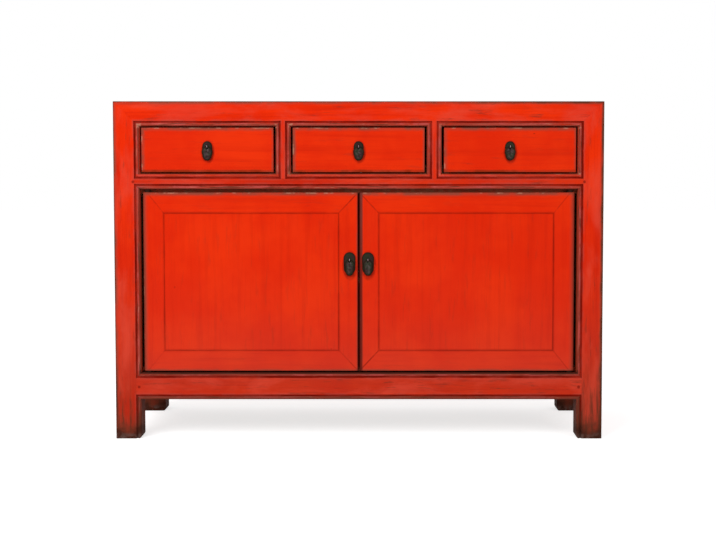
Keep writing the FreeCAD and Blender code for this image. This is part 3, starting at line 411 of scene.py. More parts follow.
def lacquer(name, grain, aged_and_shaded, mottle=1.0, bloom_and_sheen=0.0, dust_and_sheen=()):
    """Red lacquer over wood, clouded, with brushed streaks along the grain and small nicks.

    The two tables give points of height and share: how far the red darkens, partly with age and
    partly as painted shade, and how far it turns dull and pink, partly with dust and partly as a
    painted reflection of the floor.
    One number gives the share of the pale pink cast in patches: partly bloom of the lacquer, partly
    painted sheen.
    """
    paint = Paint(name)
    streaks = paint.streaks(grain, 2.2, 46.0, 4.0, 0.6, 0.3)
    fine = paint.streaks(grain, 9.0, 420.0, 3.0, 0.6)
    paint.colour = paint.mix(paint.patches(5.0, 0.36, 0.66), RED, RED_WARM)
    paint.rough = paint.spread(paint.noise(14.0, 4.0, 0.6), 0.26, 0.46)
    paint.height = paint.plus(paint.times(fine, 0.5), paint.times(streaks, 0.8))
    paint.layer(paint.spread(paint.ramp(streaks, 0.46, 0.72), 0.0, 0.6 * mottle), RED_DEEP, 0.4)
    paint.layer(paint.spread(paint.ramp(fine, 0.52, 0.75), 0.0, 0.35 * mottle), RED_DEEP, 0.4)
    # darker towards the bottom: partly age, partly painted shade
    paint.layer(paint.by_height(aged_and_shaded), DUSK, 0.5)
    # duller and pinker towards the bottom: partly dust, partly a painted reflection of the floor
    if dust_and_sheen:
        paint.layer(paint.by_height(dust_and_sheen), DUST_AND_SHEEN, 0.5)
    # pale pink cast in patches: partly bloom of the lacquer, partly painted sheen
    if bloom_and_sheen:
        cast = paint.streaks(grain, 5.0, 15.0, 5.0, 0.6, 0.4)
        paint.layer(paint.spread(paint.ramp(cast, 0.42, 0.66), 0.0, bloom_and_sheen), BLOOM_AND_SHEEN, 0.42)
    smears = paint.streaks(grain, 12.0, 90.0, 5.0, 0.62)
    smeared = 0.5 * mottle * min(mottle, 1.0)
    paint.layer(paint.spread(paint.ramp(smears, 0.56, 0.74), 0.0, smeared), DUSK, 0.5)
    nicks = paint.dots(26.0, 0.0017, 0.14, paint.stretched(grain_scale(grain, 0.6, 1.0)))
    paint.layer(paint.times(nicks, 0.8), NICK_AND_SHADOW, 0.6, 1.5)
    knocks = paint.dots(8.0, 0.0052, 0.30, paint.stretched(grain_scale(grain, 0.7, 1.0)))
    paint.layer(paint.times(knocks, paint.patches(180.0, 0.36, 0.60), 0.75), NICK_AND_SHADOW, 0.6, 1.5)
    return paint


def rectangle(paint, across, across_span, up, up_span):
    """Signed distance to a rectangle in a plane, below zero inside it, and its two parts."""
    parts = []
    for value, (low, high) in ((across, across_span), (up, up_span)):
        off = paint.size(paint.minus(value, (low + high) / 2))
        parts.append(paint.minus(off, (high - low) / 2))
    return paint.most(*parts), *parts


def openings(paint):
    """Distance outside the nearest opening of the front frame."""
    width = paint.size(paint.x)
    drawer_z = (DRAWER_SILL, TOP_UNDER)
    outer_x = (DRAWER_PITCH - DRAWER_OPENING, DRAWER_PITCH + DRAWER_OPENING)
    middle = rectangle(paint, paint.x, (-DRAWER_OPENING, DRAWER_OPENING), paint.z, drawer_z)[0]
    outer = rectangle(paint, width, outer_x, paint.z, drawer_z)[0]
    door = rectangle(paint, paint.x, (-INNER, INNER), paint.z, (DOOR_SILL, DOOR_HEAD))[0]
    low = rectangle(paint, paint.x, (-INNER, INNER), paint.z, (-LEG_TOP, LEG_TOP))[0]
    return paint.least(middle, outer, door, low)


def from_drawer_middle(paint):
    """Distance along X from the middle of the nearest drawer."""
    step = paint.calc("ROUND", paint.calc("DIVIDE", paint.x, DRAWER_PITCH))
    step = paint.least(paint.most(step, -1.0), 1.0)
    return paint.minus(paint.x, paint.times(step, DRAWER_PITCH))


def case_edge(paint):
    """Distance to the nearest outer edge of the case: the middle one of three to its faces."""
    side = paint.minus(HALF, paint.size(paint.x))
    deep = paint.least(paint.minus(paint.y, FRONT), paint.minus(BACK, paint.y))
    high = paint.least(paint.z, paint.minus(HEIGHT, paint.z))
    return paint.most(paint.least(side, deep), paint.least(paint.most(side, deep), high))


def wear_edges(paint):
    """Rubbed arrises: a dull brown border that ends in a thin dark line, with painted shade along
    the arrises on the right and darker low down.
    """
    edge = case_edge(paint)
    uneven = paint.wobble(paint.wobble(edge, 22.0, 0.0020), 150.0, 0.0010)
    worn = paint.spread(paint.patches(12.0, 0.40, 0.60), 0.45, 1.0)
    paint.layer(paint.times(paint.ramp(uneven, RUB_START, RUB_FULL), worn, 0.9), RIM, 0.5, 0.8)
    broken = paint.spread(paint.patches(11.0, 0.36, 0.56, 3.0, 0.5), 0.3, 0.9)
    paint.layer(paint.times(paint.ramp(uneven, 0.0036, 0.0014), broken), BROWN, 0.65, 1.0)
    # painted shade along the arrises on the right side of the case
    right = paint.times(paint.ramp(paint.x, 0.0, HALF), paint.ramp(uneven, 0.0085, 0.0036))
    shade_patches = paint.spread(paint.patches(16.0, 0.36, 0.58), 0.5, 1.0)
    paint.layer(paint.times(right, shade_patches), BROWN, 0.6)
    low = paint.times(paint.ramp(paint.z, 0.26, 0.06), paint.ramp(uneven, 0.0085, 0.0020), broken)
    paint.layer(low, SOOT_AND_SHADE, 0.6)


def wear_mouldings(paint, grain):
    """Dark quirks with painted shade; beads rubbed brown and pink in streaks, with painted
    highlights and shade, darkest towards the gaps.
    """
    out = openings(paint)
    uneven = paint.wobble(paint.wobble(out, 70.0, 0.0008), 13.0, 0.0014)
    fringe = paint.ramp(uneven, BEAD + QUIRK + 0.0065, BEAD + QUIRK)
    paint.layer(paint.times(fringe, paint.patches(24.0, 0.36, 0.62), 0.55), RUBBED, 0.5)
    # quirks darkened in patches: grime with painted shade
    quirk = paint.band(uneven, BEAD - 0.0003, BEAD + QUIRK - 0.0003, 0.0010)
    quirk_dirt_and_shade = paint.spread(paint.patches(9.0, 0.38, 0.62), 0.5, 1.0)
    paint.layer(paint.times(quirk, quirk_dirt_and_shade), CREVICE, 0.6)
    bead = paint.ramp(uneven, BEAD + 0.0002, BEAD - 0.0008)
    paint.layer(paint.times(bead, 0.45), DUSK, 0.5)
    rubbed = paint.streaks(grain, 9.0, 120.0, 5.0, 0.65)
    paint.layer(paint.times(bead, paint.ramp(rubbed, 0.40, 0.58), 0.8), RUBBED, 0.5, 0.6)
    # pink painted highlight along the bead's crest, in patches
    crest = paint.times(bead, paint.ramp(uneven, 0.0020, 0.0040), paint.patches(16.0, 0.50, 0.60))
    paint.layer(paint.times(crest, 0.6), PINK, 0.45)
    pale = paint.streaks(grain, 22.0, 260.0, 5.0, 0.65)
    paint.layer(paint.times(bead, paint.ramp(pale, 0.58, 0.70), 0.7), CREAM, 0.55, 0.8)
    chips = paint.streaks(grain, 14.0, 200.0, 4.0, 0.6)
    paint.layer(paint.times(bead, paint.ramp(chips, 0.53, 0.62), 0.75), BROWN, 0.6, 1.5)
    # painted light on the bead just under the drawers, where it faces up
    facing_up = paint.band(paint.z, DRAWER_SILL - 0.0075, DRAWER_SILL - 0.0015, 0.001)
    paint.layer(paint.times(bead, facing_up, 0.45), RED_WARM, 0.45)
    lowest = paint.ramp(paint.z, LEG_TOP + 0.016, LEG_TOP + 0.009)
    paint.layer(paint.times(bead, lowest, 0.55), BROWN, 0.6)
    # half of the bead towards the gap browner: grime with painted shade
    inner_half = paint.ramp(paint.wobble(out, 28.0, 0.0030), 0.0050, 0.0014)
    paint.layer(paint.times(inner_half, 0.45), BROWN, 0.7)
    # painted shade in the gap at the door sill
    off_sill = paint.size(paint.minus(paint.z, DOOR_SILL))
    sill = paint.times(paint.ramp(out, 0.0050, 0.0015), paint.ramp(off_sill, 0.009, 0.006))
    paint.layer(paint.times(sill, 0.8), SOOT_AND_SHADE, 0.7)
    # painted light and shade in the gaps: the reveals take a lit colour by the drawers and a shaded
    # one by the doors
    behind_face = paint.ramp(paint.y, FRONT + 0.003, FRONT + 0.005)
    reveal = paint.times(paint.ramp(out, 0.0008, 0.0002), behind_face)
    by_drawers = paint.ramp(paint.z, DOOR_HEAD, DRAWER_SILL)
    paint.layer(reveal, paint.mix(by_drawers, GAP_SHADED, GAP_LIT), 0.7)
    # painted shade at the top and bottom ends of the door gaps
    ends = paint.most(
        paint.ramp(paint.z, DOOR_HEAD - 0.003, DOOR_HEAD),
        paint.ramp(paint.z, DOOR_SILL + 0.003, DOOR_SILL),
    )
    above = paint.ramp(paint.z, DOOR_HEAD + 0.010, DOOR_HEAD + 0.006)
    paint.layer(paint.times(reveal, ends, above, 0.85), SOOT_AND_SHADE, 0.7)


def wear_corners(paint):
    """Pale spots where the bead is rubbed through at the corners of the drawer openings."""
    across = from_drawer_middle(paint)
    _, sideways, upward = rectangle(
        paint, across, (-DRAWER_OPENING, DRAWER_OPENING), paint.z, (DRAWER_SILL, TOP_UNDER)
    )
    off = paint.wobble(paint.most(paint.size(sideways), paint.size(upward)), 90.0, 0.0050)
    spots = paint.times(paint.ramp(off, 0.0080, 0.0040), paint.patches(110.0, 0.47, 0.60))
    paint.layer(paint.times(spots, paint.patches(7.0, 0.42, 0.54), 0.7), CREAM, 0.55, 0.6)


def pegs(paint):
    """Dark ends of the pegs that hold the tenons of the middle and bottom rails."""
    for across, up in PEGS:
        side = paint.minus(paint.size(paint.x), across)
        rise = paint.minus(paint.z, up)
        reach = paint.wobble(paint.reach(side, rise), 160.0, 0.0012)
        share = paint.ramp(reach, 0.0052, 0.0022)
        on_front = paint.ramp(paint.y, FRONT + 0.004, FRONT + 0.002)
        paint.layer(paint.times(share, on_front, 0.75), NICK_AND_SHADOW, 0.6, 0.8)


def seam(paint, off, strength, wide=0.0017):
    """Dark line of a width where two pieces meet, with some grime along it."""
    uneven = paint.wobble(off, 60.0, 0.0006)
    grime = paint.spread(paint.patches(18.0, 0.36, 0.65), 0.10, 0.24)
    paint.layer(paint.times(paint.ramp(uneven, 0.0060, 0.0010), grime), NICK_AND_SHADOW, 0.55)
    paint.layer(paint.times(paint.ramp(off, wide, 0.3 * wide), strength), NICK_AND_SHADOW, 0.55, 0.6)


def panel_seams(paint):
    """Lines round the side panels and the top panel."""
    deep = (FRONT_POST_BACK, REAR_POST_FRONT)
    strength = paint.spread(paint.patches(7.0, 0.35, 0.62), 0.4, 1.0)
    for off in (
        rectangle(paint, paint.y, deep, paint.z, (DOOR_SILL, TOP_UNDER))[0],
        rectangle(paint, paint.x, (-INNER, INNER), paint.y, deep)[0],
    ):
        seam(paint, paint.size(off), strength)


def scar_low_parts(paint, grain):
    """Dents and scratches where feet and brooms have knocked the case, most on its right."""
    low = paint.ramp(paint.wobble(paint.z, 8.0, 0.06), 0.32, 0.14)
    low = paint.times(low, paint.spread(paint.ramp(paint.x, -HALF, 0.6 * HALF), 0.25, 1.0))
    dents = paint.dots(24.0, 0.0036, 0.30, paint.stretched(grain_scale(grain, 0.5, 1.0)))
    paint.layer(paint.times(dents, low, paint.patches(190.0, 0.38, 0.56), 0.8), NICK_AND_SHADOW, 0.6, 1.5)
    scratches = paint.streaks(grain, 20.0, 230.0, 4.0, 0.6)
    paint.layer(paint.times(low, paint.ramp(scratches, 0.60, 0.70), 0.65), BROWN, 0.6, 0.8)


def darken_feet(paint):
    """Streaked legs with scuffed, blackened ends, darkest along their arrises, and painted shade
    towards the back.
    """
    streaks = paint.streaks("z", 9.0, 130.0, 5.0, 0.65, 0.3)
    low = paint.ramp(paint.wobble(paint.z, 12.0, 0.03), 0.21, 0.06)
    paint.layer(paint.times(low, paint.ramp(streaks, 0.49, 0.61), 0.75), BROWN, 0.55, 0.4)
    paint.layer(paint.times(low, paint.ramp(streaks, 0.44, 0.36), 0.30), RED_DEEP, 0.45)
    right = paint.ramp(paint.x, 0.0, HALF)
    paint.layer(paint.times(low, right, 0.22), BROWN, 0.55)
    # painted shade: darker low down towards the back, on the rear legs
    paint.layer(paint.times(low, paint.ramp(paint.y, 0.0, BACK), 0.48), SOOT_AND_SHADE, 0.6)
    from_side = paint.size(paint.minus(HALF, paint.size(paint.x)))
    edge = paint.least(from_side, paint.size(openings(paint)), 0.03)
    height = paint.plus(paint.z, paint.times(edge, 0.9))
    high = paint.wobble(paint.wobble(height, 26.0, 0.030, 4.0), 120.0, 0.010)
    paint.layer(paint.times(paint.ramp(high, 0.092, 0.036), 0.75), BROWN, 0.55, 0.4)
    paint.layer(paint.times(paint.ramp(high, 0.046, 0.022), 0.75), SOOT_AND_SHADE, 0.7, 0.6)
    paint.layer(paint.times(paint.ramp(high, 0.066, 0.034), right, 0.35), SOOT_AND_SHADE, 0.7)
    scuffed = paint.ramp(paint.wobble(paint.z, 60.0, 0.008), 0.020, 0.006)
    paint.layer(paint.times(scuffed, paint.patches(70.0, 0.42, 0.60), 0.8), SCUFF, 0.75, 0.6)


def wood_colour(paint, grain):
    """Pale and dark wood in broad bands, with the year rings as lines along the grain."""
    broad = paint.streaks(grain, 1.6, 24.0, 4.0, 0.6, 0.6)
    tone = paint.mix(paint.ramp(broad, 0.34, 0.68), WOOD_PALE, WOOD_DARK)
    field = paint.streaks(grain, 1.3, 11.0, 1.5, 0.4, 0.4)
    rings = paint.calc("SINE", paint.wobble(paint.times(field, 110.0), 60.0, 0.9))
    return paint.mix(paint.times(paint.ramp(rings, -0.1, 1.0), 0.5), tone, WOOD_STREAK)


def bare_inside(paint, grain):
    """Bare wood on the faces that look into the case."""
    depth = paint.least(
        paint.minus(PANEL_HIGH.x - SIDE_PANEL, paint.size(paint.x)),
        paint.minus(paint.y, DOOR_BACK),
        paint.minus(BACK - 0.004, paint.y),
        paint.minus(paint.z, LEG_TOP + 0.002),
        paint.minus(HEIGHT - TOP_PANEL + 0.002, paint.z),
    )
    share = paint.ramp(paint.wobble(depth, 60.0, 0.0008), 0.0, 0.0014)
    paint.layer(share, wood_colour(paint, grain), 0.65)


def case_lacquer(name, grain, aged_and_shaded, front=False):
    """Lacquer of a case member, with its mouldings if it stands at the front."""
    paint = lacquer(name, grain, aged_and_shaded, mottle=1.2, bloom_and_sheen=0.5, dust_and_sheen=CASE_DUST_AND_SHEEN)
    if front:
        wear_mouldings(paint, grain)
        wear_corners(paint)
        pegs(paint)
    panel_seams(paint)
    wear_edges(paint)
    scar_low_parts(paint, grain)
    if grain == "z":
        darken_feet(paint)
    bare_inside(paint, grain)
    return paint.finish(GLOSS, LACQUER_RELIEF)


def rim_wear_light_and_shade(paint, lit, shaded, side):
    """Rim of a drawer front or a door: rubbed dull above and on the left, partly painted highlight,
    painted shade elsewhere.

    lit and shaded are the distances to the two pairs of edges, side is the colour of the sides.
    """
    near = paint.wobble(paint.wobble(lit, 24.0, 0.0022), 140.0, 0.0008)
    worn = paint.spread(paint.patches(13.0, 0.40, 0.58), 0.5, 1.0)
    paint.layer(paint.times(paint.ramp(near, RUB_START, RUB_FULL), worn), RIM, 0.5, 0.6)
    # pale patches on the lit edges: partly wear, partly painted highlight
    pale = paint.times(paint.ramp(near, 0.0034, 0.0016), paint.patches(30.0, 0.52, 0.62))
    paint.layer(paint.times(pale, 0.6), CREAM, 0.5, 0.4)
    # painted shade along the right and lower edges
    far = paint.wobble(paint.wobble(shaded, 24.0, 0.0018), 140.0, 0.0006)
    shade_patches = paint.spread(paint.patches(17.0, 0.40, 0.58), 0.35, 0.9)
    paint.layer(paint.times(paint.ramp(far, 0.0070, 0.0008), shade_patches, 0.8), RIM, 0.55, 0.4)
    # the sides in the gap take the given gap colour: painted light by the drawers, painted shade by
    # the doors
    inside = paint.least(lit, shaded)
    edge = paint.ramp(paint.minus(paint.y, FACE), 0.0006, 0.0022)
    paint.layer(paint.times(paint.ramp(inside, 0.0012, 0.0006), edge), side, 0.65)


def bare_behind(paint, start, grain, also=0.0):
    """Bare wood from a depth on, the inner side of a front piece, and where also is 1."""
    share = paint.ramp(paint.wobble(paint.y, 60.0, 0.0012), start, start + 0.0015)
    paint.layer(paint.most(share, also), wood_colour(paint, grain), 0.65)


def drawer_lacquer(name):
    """Drawer front: lacquered face, worn rim with painted highlight and shade, painted shadow round
    the pull, bare wood behind.
    """
    paint = lacquer(name, "x", even(0.06), mottle=0.7)
    across = from_drawer_middle(paint)
    lit = paint.least(paint.plus(across, DRAWER_HALF), paint.minus(DRAWER_HIGH.z, paint.z))
    shaded = paint.least(paint.minus(DRAWER_HALF, across), paint.minus(paint.z, DRAWER_LOW.z))
    rim_wear_light_and_shade(paint, lit, shaded, GAP_LIT)
    # painted shade along the lower edge of the drawer front
    below = paint.wobble(paint.minus(paint.z, DRAWER_LOW.z), 22.0, 0.0026)
    low_edge_shade_patches = paint.spread(paint.patches(15.0, 0.40, 0.58), 0.5, 1.0)
    on_face = paint.ramp(paint.minus(paint.y, FACE), 0.0022, 0.0006)
    paint.layer(paint.times(low_edge_shade_patches, paint.ramp(below, 0.0090, 0.0026), on_face), OLIVE, 0.55, 0.4)
    # painted shadow round the pull
    shadow_round_pull(paint, across, "middle_drawer")
    bare_behind(paint, DRAWER_HIGH.y - 0.002, "x")
    return paint.finish(GLOSS, LACQUER_RELIEF)


def shadow_round_pull(paint, across, name):
    """Painted shadow of a pull on the lacquer close round it, more to its right and below."""
    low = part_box(f"{name}_pull_drop")[0]
    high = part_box(f"{name}_pull_plate")[1]
    wide = (high.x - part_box(f"{name}_pull_plate")[0].x) / 2 + 0.002
    sideways = paint.calc("DIVIDE", paint.minus(across, 0.0015), wide)
    middle = (low.z + high.z) / 2 - 0.0020
    upward = paint.calc("DIVIDE", paint.minus(paint.z, middle), (high.z - low.z) / 2)
    near = paint.ramp(paint.reach(sideways, upward), 1.30, 1.0)
    share = paint.spread(paint.patches(60.0, 0.36, 0.60), 0.3, 0.6)
    paint.layer(paint.times(near, share), NICK_AND_SHADOW, 0.5)


def door_lacquer(name, grain, back=DOOR_BACK):
    """Door member or panel, with thin dark lines where the pieces meet.

    back is the place of its bare side.
    """
    paint = lacquer(name, grain, even(0.05), mottle=0.6, bloom_and_sheen=0.02, dust_and_sheen=DOOR_DUST_AND_SHEEN)
    width = paint.size(paint.x)
    panel_x = (MEET_INNER, HINGE_INNER)
    panel_z = (DOOR_LOW + DOOR_RAIL, DOOR_HIGH - DOOR_RAIL)
    _, sideways, upward = rectangle(paint, width, panel_x, paint.z, panel_z)
    strength = paint.spread(paint.patches(7.0, 0.35, 0.62), 0.05, 0.25)
    seam(paint, paint.size(paint.most(sideways, upward)), strength, 0.0036)
    hinge_side = paint.calc("GREATER_THAN", width, (DOOR_OUTER + DOOR_MEET) / 2)
    lean = paint.blend(
        hinge_side, DOOR_RAIL / (MEET_INNER - DOOR_MEET), DOOR_RAIL / (PIVOT_X - HINGE_INNER)
    )
    off = paint.size(paint.minus(paint.times(sideways, lean), upward))
    corner = paint.ramp(paint.least(sideways, upward), 0.0, 0.0006)
    mitre = paint.times(corner, paint.spread(paint.patches(14.0, 0.38, 0.60), 0.2, 0.7))
    mitre = paint.times(mitre, paint.blend(hinge_side, 1.0, 0.5))
    paint.layer(paint.times(paint.ramp(off, 0.0034, 0.0010), mitre), NICK_AND_SHADOW, 0.5)
    right_door = paint.calc("GREATER_THAN", paint.x, 0.0)
    other_door = paint.times(right_door, DOOR_OUTER + DOOR_MEET)
    from_left = paint.minus(paint.plus(paint.x, DOOR_OUTER), other_door)
    from_right = paint.minus(DOOR_OUTER - DOOR_MEET, from_left)
    lit = paint.least(from_left, paint.minus(DOOR_HIGH, paint.z))
    shaded = paint.least(from_right, paint.minus(paint.z, DOOR_LOW))
    # painted shade on the rounded hinge edges of the doors
    by_hinge = paint.wobble(paint.minus(DOOR_OUTER, width), 20.0, 0.0030)
    paint.layer(paint.times(paint.ramp(by_hinge, 0.0170, 0.0020), 0.6), RIM, 0.5)
    rim_wear_light_and_shade(paint, lit, shaded, GAP_SHADED)
    meeting_edge_rub_and_sheen(paint, paint.times(right_door, paint.ramp(from_left, 0.0098, 0.0046)))
    # painted shade on both doors along the meeting gap
    by_gap = paint.wobble(paint.minus(width, DOOR_MEET), 16.0, 0.0010)
    paint.layer(paint.times(paint.ramp(by_gap, 0.0034, 0.0014), 0.8), WINE, 0.5)
    eye_x = sum(corner.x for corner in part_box("right_door_pull_plate")) / 2
    # painted shadows round the two door pulls
    for sign in (-1.0, 1.0):
        shadow_round_pull(paint, paint.minus(paint.x, sign * eye_x), "right_door")
    # painted shade on the pivots, where they show in the gaps
    pivots = paint.most(
        paint.ramp(paint.z, DOOR_HIGH + 0.0002, DOOR_HIGH + 0.0006),
        paint.ramp(paint.z, DOOR_LOW - 0.0002, DOOR_LOW - 0.0006),
    )
    paint.layer(pivots, SOOT_AND_SHADE, 0.7)
    frame_edge = paint.ramp(paint.size(paint.most(sideways, upward)), 0.0014, 0.0008)
    behind_panel = paint.ramp(paint.y, DOOR_PANEL_BACK - 0.0010, DOOR_PANEL_BACK)
    bare_behind(paint, back - 0.002, grain, paint.times(frame_edge, behind_panel))
    return paint.finish(GLOSS, LACQUER_RELIEF)


def meeting_edge_rub_and_sheen(paint, strip):
    """Meeting edge of the right door: grey mauve above, partly rubbed by hands and partly a painted
    reflection, dark red below.
    """
    above = paint.by_height(MEETING_RUB_AND_SHEEN, 0.03)
    paint.layer(paint.times(strip, 0.85), WINE, 0.5, 0.5)
    # grey mauve above: partly rubbing, partly a painted reflection of the pale surroundings
    paint.layer(paint.times(strip, above, paint.spread(paint.noise(30.0), 0.5, 1.2)), MAUVE, 0.5)


def bare_wood(name, grain, plank=0.0, red_end=0.0):
    """Unfinished old wood with its grain along an axis.

    plank is the width of its planks across X, if it has any. red_end is how far from the face the
    wood has been painted along with the fronts.
    """
    paint = Paint(name)
    streaks = paint.streaks(grain, 4.0, 170.0, 5.0, 0.65, 0.4)
    pores = paint.streaks(grain, 30.0, 900.0, 2.0, 0.5)
    paint.colour = wood_colour(paint, grain)
    paint.rough = paint.spread(streaks, 0.55, 0.8)
    paint.height = paint.plus(paint.times(streaks, 1.6), paint.times(pores, 0.6))
    paint.layer(paint.times(paint.ramp(streaks, 0.50, 0.72), 0.6), WOOD_STREAK, 0.7)
    paint.layer(paint.times(paint.patches(6.0, 0.56, 0.74), 0.5), WOOD_STREAK, 0.75)
    if plank:
        count = paint.calc("DIVIDE", paint.x, plank)
        tone = paint.add("ShaderNodeTexWhiteNoise", noise_dimensions="1D")
        paint.link(paint.calc("FLOOR", count), tone.inputs["W"])
        paint.layer(paint.times(tone.outputs["Value"], 0.5), WOOD_DARK, 0.7)
        off = paint.times(paint.size(paint.minus(count, paint.calc("ROUND", count))), plank)
        joint = paint.ramp(paint.wobble(off, 40.0, 0.002), 0.0070, 0.0010)
        paint.layer(paint.times(joint, 0.6), SOOT_AND_SHADE, 0.8)
    if red_end:
        depth = paint.wobble(paint.minus(paint.y, FACE), 30.0, 0.006)
        paint.layer(paint.ramp(depth, red_end, red_end - 0.004), RED, 0.5)
    return paint.finish(WOOD_GLOSS, WOOD_RELIEF)


def patinated_metal(name):
    """Dark bronze with a brown and greenish patina, rubbed brighter on its crowns, with a painted
    highlight on the eye.
    """
    paint = Paint(name)
    spots = paint.noise(420.0, 3.0, 0.6)
    tarnish = paint.noise(160.0, 5.0, 0.6)
    paint.colour = paint.mix(paint.patches(75.0, 0.38, 0.62), BRONZE, BRONZE_GREEN)
    paint.rough = paint.spread(paint.noise(220.0, 4.0), 0.30, 0.52)
    paint.height = paint.plus(paint.times(tarnish, 1.2), paint.times(spots, 0.5))
    out = paint.minus(FACE, paint.y)
    kept = paint.add("ShaderNodeAttribute", attribute_name="inwards").outputs["Fac"]
    inwards = paint.wobble(kept, 150.0, 0.0014)
    paint.layer(paint.times(paint.ramp(inwards, 0.0052, 0.0010), 0.9), BRONZE_DARK, 0.6)
    crest = paint.ramp(out, EYE_STANDOFF + 0.5 * DROP_CROWN, EYE_STANDOFF + DROP_CROWN)
    rubbed = paint.times(crest, paint.patches(170.0, 0.40, 0.66), paint.ramp(inwards, 0.003, 0.008))
    paint.layer(paint.times(rubbed, 0.18), BRONZE_BRIGHT, 0.34)
    # painted highlight on the front of the pin's eye
    paint.layer(paint.ramp(out, EYE_STANDOFF + 0.0034, EYE_STANDOFF + 0.0048), BRONZE_BRIGHT, 0.34)
    paint.layer(paint.times(paint.ramp(spots, 0.58, 0.72), 0.6), BRONZE_DARK, 0.65, 0.6)
    return paint.finish(METAL_GLOSS, METAL_RELIEF, METALLIC)


def dress(names, material, width, segments=2):
    """Gives solids a material, and small rounded arrises."""
    for name in names:
        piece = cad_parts[name]
        piece.data.materials.clear()
        piece.data.materials.append(material)
        weld = piece.modifiers.new("weld", "WELD")
        weld.merge_threshold = WELD_REACH
        flat = piece.modifiers.new("flat", "DECIMATE")
        flat.decimate_type = "DISSOLVE"
        flat.angle_limit = FLAT_ANGLE
        bevel = piece.modifiers.new("arris", "BEVEL")
        bevel.width = width
        bevel.segments = segments
        bevel.limit_method = "ANGLE"
        bevel.angle_limit = ARRIS_ANGLE
        bevel.use_clamp_overlap = True
        shading = piece.modifiers.new("shading", "WEIGHTED_NORMAL")
        shading.keep_sharp = True


def dress_all():
    """Materials and arrises of all the solids that stay."""
    post = case_lacquer("lacquer_post", "z", POST_AGED_AND_SHADED, front=True)
    dress(["front_left_post", "front_right_post"], post, ARRIS_CRISP)
    divider = case_lacquer("lacquer_divider", "z", even(0.1), front=True)
    dress(["drawer_dividers"], divider, ARRIS_EASED)
    # lower rails darker: partly age, partly painted shade
    for row, share in (("top", 0.0), ("middle", 0.24), ("bottom", 0.36)):
        rail = case_lacquer(f"lacquer_{row}_rail", "x", even(share), front=True)
        dress([f"front_{row}_rail"], rail, ARRIS_CRISP)
    outer_x = case_lacquer("lacquer_outer_x", "x", POST_AGED_AND_SHADED)
    outer_y = case_lacquer("lacquer_outer_y", "y", POST_AGED_AND_SHADED)
    outer_z = case_lacquer("lacquer_outer_z", "z", POST_AGED_AND_SHADED)
    upright = ["rear_left_post", "rear_right_post", "left_side_panel", "right_side_panel"]
    dress(upright, outer_z, ARRIS_SOFT)
    dress(["side_top_rails", "side_bottom_rails"], outer_y, ARRIS_SOFT)
    dress(["rear_top_rail", "rear_bottom_rail", "top_panel"], outer_x, ARRIS_SOFT)

    drawer_front = drawer_lacquer("lacquer_drawer")
    door_x = door_lacquer("lacquer_door_x", "x")
    door_z = door_lacquer("lacquer_door_z", "z")
    door_panel = door_lacquer("lacquer_door_panel", "z", DOOR_PANEL_BACK)
    wood_x = bare_wood("wood_x", "x")
    wood_y = bare_wood("wood_y", "y")
    side_wood = bare_wood("wood_drawer_sides", "y", red_end=0.05)
    for name in DRAWERS:
        dress([f"{name}_front"], drawer_front, ARRIS_ROUND, segments=3)
        dress([f"{name}_sides"], side_wood, ARRIS_EASED)
        dress([f"{name}_bottom"], wood_y, ARRIS_EASED)
        dress([f"{name}_back"], wood_x, ARRIS_EASED)
    for name in DOORS:
        dress([f"{name}_hinge_stile", f"{name}_meeting_stile"], door_z, ARRIS_SHARP)
        dress([f"{name}_panel"], door_panel, ARRIS_SHARP)
        dress([f"{name}_rails"], door_x, ARRIS_SHARP)
        dress([f"{name}_battens"], wood_x, ARRIS_SOFT)
    dress(["floor_panel", "shelf", "rear_middle_rail"], wood_x, ARRIS_EASED)
    dress(["top_battens", "floor_battens", "drawer_runners", "shelf_bearers"], wood_y, ARRIS_SOFT)


class Egg:
    """Outline of two round ends and the lines that touch both, in the front plane."""

    def __init__(self, x, top, bottom, top_radius, low_radius):
        self.x = x
        self.top_radius = top_radius
        self.low_radius = low_radius
        self.top_centre = top - top_radius
        self.span = self.top_centre - (bottom + low_radius)

    def distance(self, across, up, inset):
        """Signed distance of a point to the outline moved inwards by inset."""
        across = abs(across)
        down = self.top_centre - up
        lean = (self.top_radius - self.low_radius) / self.span
        rise = math.sqrt(1.0 - lean * lean)
        along = rise * down - lean * across
        if along < 0.0:
            return math.hypot(across, down) - self.top_radius + inset
        if along > rise * self.span:
            return math.hypot(across, down - self.span) - self.low_radius + inset
        return rise * across + lean * down - self.top_radius + inset

    def ring(self, centre, inset):
        """Points of the inset outline, at even angles round a height inside it."""
        points = []
        for across, up in turns():
            reach = 0.0
            for _ in range(RING_STEPS):
                reach -= self.distance(reach * across, centre + reach * up, inset)
            points.append((self.x + reach * across, centre + reach * up))
        return points


def turns():
    """Directions round a circle."""
    angles = [2.0 * math.pi * step / PULL_SAMPLES for step in range(PULL_SAMPLES)]
    return [(math.sin(angle), math.cos(angle)) for angle in angles]


